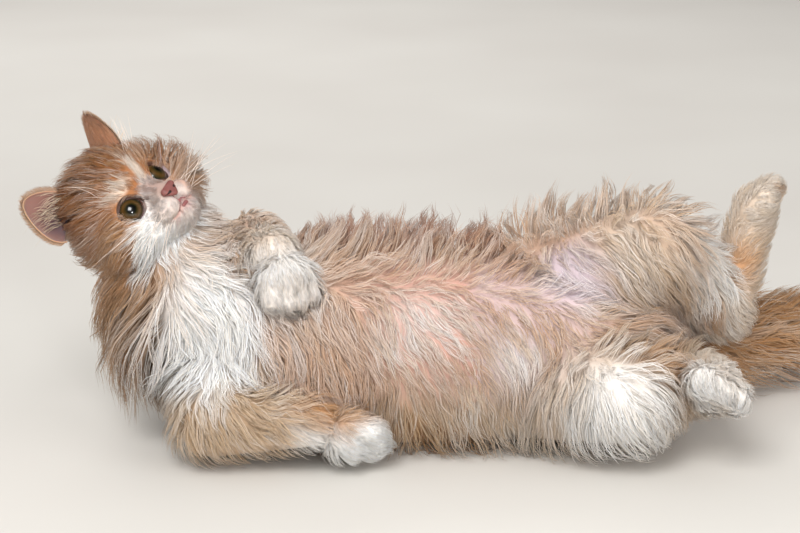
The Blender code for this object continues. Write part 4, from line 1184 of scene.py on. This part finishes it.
def hair_material():
    """Guard hair of a long-haired cat: keratin, grown smooth, so each tuft has a soft sheen down its length."""
    material, tree, shader = new_material("guard_hair_grown_keratin")
    colour = add_node(tree, "ShaderNodeAttribute", {"attribute_name": "coat_colour"})
    tree.links.new(colour.outputs["Color"], shader.inputs["Base Color"])
    set_shader(shader, Roughness=0.5, IOR=1.55, Sheen_Weight=0.06, Sheen_Roughness=0.5)
    set_shader(shader, Subsurface_Weight=0.35, Subsurface_Scale=0.0012, Subsurface_Radius=(1.0, 0.85, 0.7))
    shader.inputs["Specular IOR Level"].default_value = 0.28
    return material


def skin_material():
    """Skin under woolly down: the down reads as fine soft grain, and the eye sees no bare patch between tufts."""
    material, tree, shader = new_material("skin_with_woolly_down")
    colour = add_node(tree, "ShaderNodeAttribute", {"attribute_name": "coat_colour"})
    place = add_node(tree, "ShaderNodeTexCoord")
    down = add_node(tree, "ShaderNodeTexNoise", {"Scale": 1 / (1.6 * MM), "Detail": 3.0}, {"Vector": place.outputs["Object"]})
    bump = add_node(tree, "ShaderNodeBump", {"Strength": 0.5, "Distance": 0.4 * MM}, {"Height": down.outputs["Fac"]})
    tree.links.new(colour.outputs["Color"], shader.inputs["Base Color"])
    tree.links.new(bump.outputs["Normal"], shader.inputs["Normal"])
    set_shader(shader, Roughness=0.8, Sheen_Weight=0.2)
    return material


def eye_material():
    """The iris seen through a wet cornea: its fibres run out from the pupil, and the tear film gives highlights."""
    material, tree, shader = new_material("iris_under_wet_cornea")
    where = add_node(tree, "ShaderNodeUVMap", {"uv_map": "iris"})
    around = add_node(tree, "ShaderNodeVectorMath", {"operation": "SUBTRACT", 1: (0.5, 0.5, 0.0)}, {0: where.outputs["UV"]})
    turn = add_node(tree, "ShaderNodeVectorMath", {"operation": "NORMALIZE"}, {0: around.outputs["Vector"]})
    away = add_node(tree, "ShaderNodeVectorMath", {"operation": "LENGTH"}, {0: around.outputs["Vector"]})
    grain = add_node(tree, "ShaderNodeTexNoise", {"Scale": 9.0, "Detail": 4.0}, {"Vector": turn.outputs["Vector"]})
    mixed = add_node(
        tree, "ShaderNodeMath", {"operation": "MULTIPLY_ADD", 1: 0.07}, {0: grain.outputs["Fac"], 2: away.outputs["Value"]}
    )
    ramp = ((0.17, "#050605"), (0.195, "#1E1E0C"), (0.25, "#3A2C10"), (0.33, "#503713"), (0.40, "#3A2F14"))
    ramp += ((0.455, "#242513"), (0.485, "#11140E"), (0.52, "#080706"))
    ring = add_node(tree, "ShaderNodeValToRGB", {"ramp": ramp}, {"Fac": mixed.outputs["Value"]})
    tree.links.new(ring.outputs["Color"], shader.inputs["Base Color"])
    set_shader(shader, Roughness=0.3, IOR=1.38, Coat_Weight=1.0, Coat_Roughness=0.02)
    return material


def plain_skin_material(name, colour, roughness, grain):
    """Bare moist skin of the nose, lips or lid margins, with a fine pebbled grain that breaks up its highlight."""
    material, tree, shader = new_material(name)
    place = add_node(tree, "ShaderNodeTexCoord")
    pebbles = add_node(tree, "ShaderNodeTexVoronoi", {"Scale": 1 / (grain * MM)}, {"Vector": place.outputs["Object"]})
    blush = add_node(tree, "ShaderNodeTexNoise", {"Scale": 1 / (6 * MM)}, {"Vector": place.outputs["Object"]})
    tint = add_node(
        tree,
        "ShaderNodeValToRGB",
        {"ramp": ((0.35, colour[0]), (0.65, colour[1]))},
        {"Fac": blush.outputs["Fac"]},
    )
    bump = add_node(tree, "ShaderNodeBump", {"Strength": 0.4, "Distance": 0.15 * MM}, {"Height": pebbles.outputs["Distance"]})
    tree.links.new(tint.outputs["Color"], shader.inputs["Base Color"])
    tree.links.new(bump.outputs["Normal"], shader.inputs["Normal"])
    set_shader(shader, Roughness=roughness, Subsurface_Weight=0.15, Subsurface_Scale=0.002)
    return material


def ear_material():
    """Thin ear skin under very short fur: pink and lilac inside, where the down is sparse, and furred outside."""
    material, tree, shader = new_material("ear_skin_with_short_fur")
    colour = add_node(tree, "ShaderNodeAttribute", {"attribute_name": "coat_colour"})
    place = add_node(tree, "ShaderNodeTexCoord")
    down = add_node(tree, "ShaderNodeTexNoise", {"Scale": 1 / (1.2 * MM), "Detail": 3.0}, {"Vector": place.outputs["Object"]})
    bump = add_node(tree, "ShaderNodeBump", {"Strength": 0.4, "Distance": 0.3 * MM}, {"Height": down.outputs["Fac"]})
    tree.links.new(colour.outputs["Color"], shader.inputs["Base Color"])
    tree.links.new(bump.outputs["Normal"], shader.inputs["Normal"])
    set_shader(shader, Roughness=0.7, Subsurface_Weight=0.2, Subsurface_Scale=0.002, Sheen_Weight=0.2)
    return material


def eye_piece(name, side, material):
    """An eye: a ball with a low corneal bulge, mapped as a disc round the pupil."""
    middle, axes = eye_frame(side)
    bm = bmesh.new()
    bmesh.ops.create_uvsphere(bm, u_segments=64, v_segments=48, radius=EYE_RADIUS * MM)
    layer = bm.loops.layers.uv.new("iris")
    edge = math.asin(LID_OPENING / EYE_RADIUS)
    places = {}
    for vert in bm.verts:
        away = math.acos(max(-1, min(1, vert.co.z / (EYE_RADIUS * MM))))
        out = Vector((vert.co.x, vert.co.y)).normalized() * min(1.0, away / edge) * 0.48
        places[vert] = (0.5 + out.x, 0.5 + out.y)
        vert.co *= 1 + 0.055 * max(0.0, 1 - (away / 0.75) ** 2) ** 1.5
    for face in bm.faces:
        for loop in face.loops:
            loop[layer].uv = places[loop.vert]
    hand = 1 if np.linalg.det(axes) > 0 else -1
    turn = Matrix((axes[0], axes[1] * hand, axes[2])).transposed().to_4x4()
    bm.transform(Matrix.Translation(middle) @ turn)
    bmesh.ops.recalc_face_normals(bm, faces=bm.faces)
    return dress(new_piece(name, bm), material)


def tube_round(name, places, radii, material, closed=True, sides=10):
    """A tube along some places, closed into a ring or with flat caps at its ends."""
    bm = bmesh.new()
    rows = []
    count = len(places)
    for i, place in enumerate(places):
        ahead = places[(i + 1) % count] if closed else places[min(i + 1, count - 1)]
        behind = places[i - 1] if closed else places[max(i - 1, 0)]
        along = Vector(ahead - behind).normalized()
        turn = along.to_track_quat("Z", "Y").to_matrix().to_4x4()
        ring = bmesh.ops.create_circle(
            bm, cap_ends=False, segments=sides, radius=radii[i], matrix=Matrix.Translation(Vector(place)) @ turn
        )
        rows.append(ring["verts"])
    pairs = list(zip(rows, rows[1:])) + ([(rows[-1], rows[0])] if closed else [])
    for near, far in pairs:
        start = min(range(sides), key=lambda k: (far[k].co - near[0].co).length)
        for i in range(sides):
            j = (i + 1) % sides
            bm.faces.new((near[i], near[j], far[(start + j) % sides], far[(start + i) % sides]))
    if not closed:
        bm.faces.new(rows[0])
        bm.faces.new(rows[-1])
    bmesh.ops.recalc_face_normals(bm, faces=bm.faces)
    return dress(new_piece(name, bm), material)


def lid_rim(name, side, material):
    """The bare margin of the lids, where they meet the wet eye."""
    places = lid_places(side, (EYE_RADIUS + 0.35) * MM, 56)
    return tube_round(name, places, np.full(56, 0.62 * MM), material)


def nose_pieces(leather, nostril_shade):
    """The nose leather, a small three-cornered pad with two comma-shaped nostrils, and a near-black piece under them:
    painted shade for the inside of the nostrils.
    """
    corners = [round_ball(on_side(NOSE_WING[0], side), NOSE_WING[1] * MM) for _, side in SIDES]
    corners.append(round_ball(NOSE_TIP, NOSE_POINT[1] * MM))
    nose = one_skin("nose_leather", [corners], 0.35 * MM, 4)
    surface = BVHTree.FromObject(nose, bpy.context.evaluated_depsgraph_get())
    inner, outer, radius = NOSTRIL
    deep_shade = bmesh.new()
    for _, side in SIDES:
        hits = [surface.find_nearest(on_side(place, side)) for place in (inner, outer)]
        on_nose, below = ([np.array(hit[0] - hit[1] * depth * MM) for hit in hits] for depth in (0.0, 1.05))
        bm = bmesh.new()
        add_hull(bm, [round_ball(place, size * radius * MM) for place, size in zip(on_nose, (1.0, 0.55))])
        boolean(nose, new_piece("nostril", bm), "DIFFERENCE")
        # Painted shade: a near-black piece just under each nostril stands for the shade inside it.
        add_hull(deep_shade, [round_ball(place, size * 0.98 * radius * MM) for place, size in zip(below, (1.0, 0.8))])
    return dress(nose, leather), dress(new_piece("nostrils", deep_shade), nostril_shade)


def lips(skin, material):
    """The pink line of the mouth, and the lower lip at its middle."""
    bm = bmesh.new()
    for index, line in enumerate(mouth_lines()):
        places = along_line(line, 9)
        on_skin, _ = skin.nearest(places)
        radii = np.linspace(0.4, 0.45, 9) if index == 0 else np.linspace(0.55, 0.15, 9)
        for a, b, ra, rb in zip(on_skin, on_skin[1:], radii, radii[1:]):
            add_hull(bm, [round_ball(a, ra * MM), round_ball(b, rb * MM)])
    lip, _ = skin.nearest(np.array([in_head(s * 1.6, LIP_MIDDLE[1] - 1.0, LIP_MIDDLE[2] - 2.6) for s in (1, -1)]))
    add_hull(bm, [round_ball(place, 1.35 * MM) for place in lip])
    piece = new_piece("lips", bm)
    remesh = piece.modifiers.new("one_skin", "REMESH")
    remesh.mode = "VOXEL"
    remesh.voxel_size = 0.35 * MM
    smooth = piece.modifiers.new("soft", "SMOOTH")
    smooth.iterations = 3
    return dress(worked_in(piece), material)


def ear_frame(side, turn):
    """The base of an ear, the way up it, its height, the way across its opening and the way to its back."""
    base, tip = on_side(EAR_BASE, side), on_side(EAR_TIP, side)
    up = unit(tip - base)
    across = CHEEK * side * 0.86 + FACE * 0.30
    across = unit(across - up * up.dot(across))
    turned = Matrix.Rotation(-side * math.radians(turn), 3, Vector(up)) @ Vector(across)
    across = np.array(turned)
    return base, up, np.linalg.norm(tip - base), across, np.cross(across, up) * side


def ear_place(frame_of_ear, x, rise):
    """A place on an ear's middle sheet: x runs from edge to edge and rise from base to tip."""
    base, up, height, across, back = frame_of_ear
    narrow = 1 - 0.22 * max(0.0, 1 - rise / 0.4) ** 2
    half_width = EAR_WIDTH / 2 * MM * narrow * max(0.0, 1 - rise**2.5) ** 0.58 + 0.6 * MM
    bend = math.radians(88 - 40 * rise)
    radius = half_width / math.sin(bend)
    angle = x * bend
    return (
        base
        + up * height * (rise * 1.04 - 0.04 - 0.10 * rise * (1 - rise**5) * x * x)
        + across * radius * math.sin(angle)
        + back * radius * (math.cos(angle) - math.cos(bend)) * 0.62
    )


EAR_INSIDE = linear("#8A6359")
# Painted shade for the hollow of the ear's cup.
EAR_HOLLOW_SHADE = linear("#604A4E")
EAR_RIM = linear("#B08A6C")
EAR_BACK = linear("#A5704F")


def ear_piece(name, side, turn, material):
    """An ear: a thin cupped leaf, open to the front, rooted in the crown."""
    shape = ear_frame(side, turn)
    back = shape[4]
    bm = bmesh.new()
    bmesh.ops.create_grid(bm, x_segments=30, y_segments=26, size=1.0)
    inside = bm.verts.layers.float.new("across")
    height = bm.verts.layers.float.new("rise")
    for vert in bm.verts:
        x, rise = vert.co.x, math.sin(math.pi / 4 * (vert.co.y + 1))
        vert[inside], vert[height] = x, rise
        vert.co = Vector(ear_place(shape, x, rise))
    bmesh.ops.recalc_face_normals(bm, faces=bm.faces)
    ear = new_piece(name, bm)
    wall = ear.modifiers.new("wall", "SOLIDIFY")
    wall.thickness = EAR_WALL * MM
    wall.offset = 0
    worked_in(ear)
    mesh = ear.data
    normals = vertex_array(mesh, "normal")
    x = np.array([item.value for item in mesh.attributes["across"].data])
    rise = np.array([item.value for item in mesh.attributes["rise"].data])
    outside = smoothstep(-0.2, 0.2, normals @ back)[:, None]
    rim = (smoothstep(0.88, 1.0, np.abs(x)) + smoothstep(0.95, 1.0, rise)).clip(0, 1)[:, None]
    # Painted shade: the inside of the cup darkens towards its hollow, low down and in the middle.
    deep_shade = (smoothstep(0.75, 0.1, np.abs(x)) * smoothstep(0.75, 0.2, rise))[:, None]
    tint = EAR_INSIDE + (EAR_HOLLOW_SHADE - EAR_INSIDE) * deep_shade
    tint = tint + (EAR_RIM - tint) * rim
    tint = tint + (EAR_BACK - tint) * outside * (1 - 0.5 * rim)
    paint(mesh, tint)
    return dress(ear, material)


def strands(roots, ways, lengths, droops, widths, rings, colours, spots, facing):
    """Tufts that start along one way and bend by a droop: whiskers, brow hairs and the fur of the ears."""
    share = np.linspace(0, 1, rings + 1)[None, :, None]
    size = lengths[:, None, None]
    paths = roots[:, None] + ways[:, None] * size * share + droops[:, None] * size * share**2
    normals = np.repeat((np.zeros_like(ways) + facing)[:, None], rings + 1, axis=1)
    tints = np.repeat(colours[:, None], rings + 1, axis=1)
    return tuft_mesh(paths, normals, widths, tints, spots)


def ear_fur(side, turn, skin_map, draw):
    """The short fur of an ear's back and rim, and the long hairs that cross its opening."""
    shape = ear_frame(side, turn)
    _, up, _, across, back = shape
    count = 2500
    x, rise = draw.uniform(-1, 1, count), draw.uniform(0.02, 1.0, count) ** 0.8
    x = np.where(draw.random(count) < 0.45, np.sign(x) * 0.99, x)
    roots = np.array([ear_place(shape, *spot) for spot in zip(x, rise)])
    upwards = unit(np.array([ear_place(shape, a, b + 0.02) for a, b in zip(x, np.minimum(rise, 0.97))]) - roots + up * 1e-6)
    sideways = unit(np.array([ear_place(shape, a + 0.02, b) for a, b in zip(x, rise)]) - roots)
    out = unit(np.cross(upwards, sideways))
    out = out * np.sign(out @ back)[:, None]
    rim = (np.abs(x) > 0.97) | (rise > 0.96)
    ways = unit(upwards * np.where(rim, 0.7, 1.0)[:, None] + out * 0.25 + across * (x * 0.9 * rim)[:, None])
    lengths = np.where(rim, draw.uniform(2.5, 5.0, count), draw.uniform(3.0, 5.5, count)) * MM
    tint = np.where(rim[:, None], EAR_RIM, EAR_BACK) * np.exp(draw.normal(0, 0.1, count))[:, None]
    droops = upwards * 0.3 - out * 0.12
    roots = roots + out * (EAR_WALL * 0.3 * MM)
    wide = np.full(count, 0.26 * MM)
    fur = strands(roots, ways, lengths, droops, wide, 2, tint.clip(0, 0.9), skin_map.at(roots), out)
    count = 80
    share = draw.random(count)
    spots = zip(draw.uniform(-0.92, 0.1, count), 0.02 + 0.42 * share)
    roots = np.array([ear_place(shape, *spot) for spot in spots])
    fan = 0.55 if side > 0 else 1.25
    ways = across * draw.uniform(0.1, 0.55, count)[:, None] + up * draw.uniform(0.5, 1.0, count)[:, None]
    ways = unit(ways - back * draw.uniform(0.6, 1.2, count)[:, None] * fan)
    lengths = draw.uniform(14, 27, count) * MM
    droops = across * draw.uniform(0.1, 0.5, count)[:, None] + back * draw.uniform(0.1, 0.4, count)[:, None] - up * 0.12
    tint = (linear("#DCC4A8") * np.exp(draw.normal(0, 0.15, count))[:, None]).clip(0, 0.95)
    wide = draw.uniform(0.22, 0.36, count) * MM
    facing = unit(-back + FACE * 0.5)
    return [fur, strands(roots, ways, lengths, droops, wide, 6, tint, skin_map.at(roots), facing)]


def whisker_parts(skin, skin_map, draw):
    """The whiskers of each side of the muzzle, and the long hairs over the eyes."""
    parts = []
    for _, side in SIDES:
        whiskers = [(10.5 + 1.6 * (i % 4), 33.5 - 1.7 * (i % 4), -20.5 - 2.4 * (i // 4)) for i in range(12)]
        brows = [(10 + 1.6 * i, 17 - 0.6 * i, 13 + 0.8 * (i % 3)) for i in range(5 if side > 0 else 12)]
        for spots, rings in ((whiskers, 12), (brows, 8)):
            roots, _ = skin.nearest(np.array([on_side(spot, side) for spot in spots]))
            count = len(roots)
            if rings == 12:
                rise = np.linspace(0.42, -0.35, count)[draw.permutation(count)][:, None]
                ways = CHEEK * side * 0.95 + FACE * draw.uniform(-0.1, 0.45, count)[:, None] + CROWN * rise
                droops = -FACE * draw.uniform(0.15, 0.35, count)[:, None] - CROWN * 0.08
                lengths = draw.uniform(34, 58, count) * MM
            else:
                rise, tilt = draw.uniform(0.5, 1.0, count)[:, None], draw.uniform(0.0, 0.6, count)[:, None]
                ways = FACE * 0.55 + CROWN * rise + CHEEK * side * tilt
                droops = CHEEK * side * 0.15 - FACE * 0.3 + np.zeros((count, 1))
                lengths = draw.uniform(20, 34, count) * MM
            ways = unit(ways)
            tint = np.tile(linear("#EAD6C6"), (count, 1))
            wide = np.full(count, 0.3 * MM)
            spot = skin_map.at(roots)
            parts.append(strands(roots - ways * MM, ways, lengths, droops, wide, rings, tint, spot, unit(FACE + LEFT)))
    return parts


def tear_lines(skin, material):
    """The dark line that runs from the inner corner of each eye towards the nose."""
    bm = bmesh.new()
    for _, side in SIDES:
        start = lid_places(side, (EYE_RADIUS + 1.0) * MM, 48)[1]
        line = start + (on_side((7.5, 34, -13.5), side) - start) * np.linspace(0, 0.62, 6)[:, None]
        on_skin, faces = skin.nearest(line)
        on_skin = on_skin + skin.face_normal[faces] * 0.35 * MM
        radii = (0.8, 0.75, 0.6, 0.45, 0.3, 0.15)
        for a, b, near, far in zip(on_skin, on_skin[1:], radii, radii[1:]):
            add_hull(bm, [round_ball(a, near * MM), round_ball(b, far * MM)])
    line = new_piece("tear_lines", bm)
    remesh = line.modifiers.new("one_skin", "REMESH")
    remesh.mode = "VOXEL"
    remesh.voxel_size = 0.3 * MM
    return dress(worked_in(line), material)


def floor_material():
    """A matt painted floor, rolled smooth, pale enough to bounce soft light under the coat."""
    material, tree, shader = new_material("matt_rolled_floor_paint")
    place = add_node(tree, "ShaderNodeTexCoord")
    patch = add_node(tree, "ShaderNodeTexNoise", {"Scale": 3.0, "Detail": 2.0}, {"Vector": place.outputs["Object"]})
    tint = add_node(tree, "ShaderNodeValToRGB", {"ramp": ((0.3, "#C9C5BF"), (0.7, "#CFCCC6"))}, {"Fac": patch.outputs["Fac"]})
    tree.links.new(tint.outputs["Color"], shader.inputs["Base Color"])
    set_shader(shader, Roughness=0.9)
    return material


def set_stage():
    """The plain pale floor, the soft studio light and the photo's camera."""
    scene = bpy.context.scene
    bm = bmesh.new()
    bmesh.ops.create_grid(bm, x_segments=2, y_segments=2, size=8.0)
    floor = new_piece("floor", bm)
    floor.data.materials.append(floor_material())
    aim = Vector((0.02, 0, 0.08))
    for name, place, size, power in (
        ("key", (-0.35, -1.35, 1.45), 0.9, 31),
        ("front", (0.25, -1.3, 0.42), 0.16, 4.5),
        ("fill", (1.4, -1.2, 0.9), 1.3, 14),
        ("back", (-0.4, 1.5, 1.2), 1.2, 12),
    ):
        lamp = bpy.data.lights.new(name, "AREA")
        lamp.size = size
        lamp.energy = power
        obj = bpy.data.objects.new(name, lamp)
        obj.location = place
        obj.rotation_euler = (aim - Vector(place)).to_track_quat("-Z", "Y").to_euler()
        obj.visible_glossy = name in ("key", "front")
        scene.collection.objects.link(obj)
    world = bpy.data.worlds.new("studio")
    world.use_nodes = True
    background = world.node_tree.nodes["Background"]
    background.inputs["Color"].default_value = (1.0, 0.98, 0.96, 1)
    background.inputs["Strength"].default_value = 0.6
    scene.world = world
    world.cycles_visibility.glossy = False
    scene.view_settings.view_transform = "Standard"
    lens = bpy.data.cameras.new("camera")
    lens.lens = 97.65
    lens.sensor_width = 36
    lens.clip_end = 30
    camera = bpy.data.objects.new("camera", lens)
    camera.location = (0, -1.3388, 0.5223)
    camera.rotation_euler = (math.radians(73), 0, 0)
    scene.collection.objects.link(camera)
    scene.camera = camera


def main():
    set_stage()
    draw = np.random.default_rng(SEED + 1)
    hair = hair_material()
    rim_skin = plain_skin_material("lid_margin_bare_skin", ("#3A2620", "#57392F"), 0.35, 0.5)
    leather = plain_skin_material("nose_leather_moist_skin", ("#76443F", "#885550"), 0.5, 0.45)
    lip_skin = plain_skin_material("lip_moist_skin", ("#84504F", "#96625F"), 0.45, 0.6)
    # Painted shade: the near-black skin under the nostrils stands for the shade inside them.
    dark = plain_skin_material("nostril_painted_shade", ("#1A0E0D", "#2A1614"), 0.5, 0.5)
    wet_iris = eye_material()
    ear_skin = ear_material()
    body = kitten_skin()
    skin = Skin(body)
    thin = skin.thin[:, None]
    under = np.where(skin.places[:, :1] > 0.05, LILAC_SKIN, PINK_SKIN)
    # Painted shade: the skin under the tufts is painted a little darker than the coat's own colour.
    tint = skin.colour * 0.98
    paint(body.data, tint + (under - tint) * thin * 0.7)
    dress(body, skin_material())
    flesh = [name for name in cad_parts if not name.startswith(("eye_", "ear_", "nose"))]
    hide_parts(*flesh)
    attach(body, "root")
    skin_map = SkinMap(body)
    pieces = []
    for name, side in SIDES:
        eye = eye_piece("iris_and_cornea_" + name, side, wet_iris)
        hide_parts("eye_" + name)
        rim = lid_rim("lid_rim_" + name, side, rim_skin)
        ear = ear_piece("ear_cup_" + name, side, EAR_TURNS[name], ear_skin)
        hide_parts("ear_" + name)
        fur = mesh_piece("ear_fur_" + name, ear_fur(side, EAR_TURNS[name], skin_map, draw), hair, False)
        pieces += [eye, rim, ear, fur]
    nose, nostrils = nose_pieces(leather, dark)
    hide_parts("nose")
    pieces += [nose, nostrils, lips(skin, lip_skin), tear_lines(skin, rim_skin)]
    whiskers = mesh_piece("whiskers", whisker_parts(skin, skin_map, draw), hair, False)
    pieces.append(whiskers)
    pieces += grow_coat(skin, skin_map, hair)
    for piece in pieces:
        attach(piece, "root")


main()
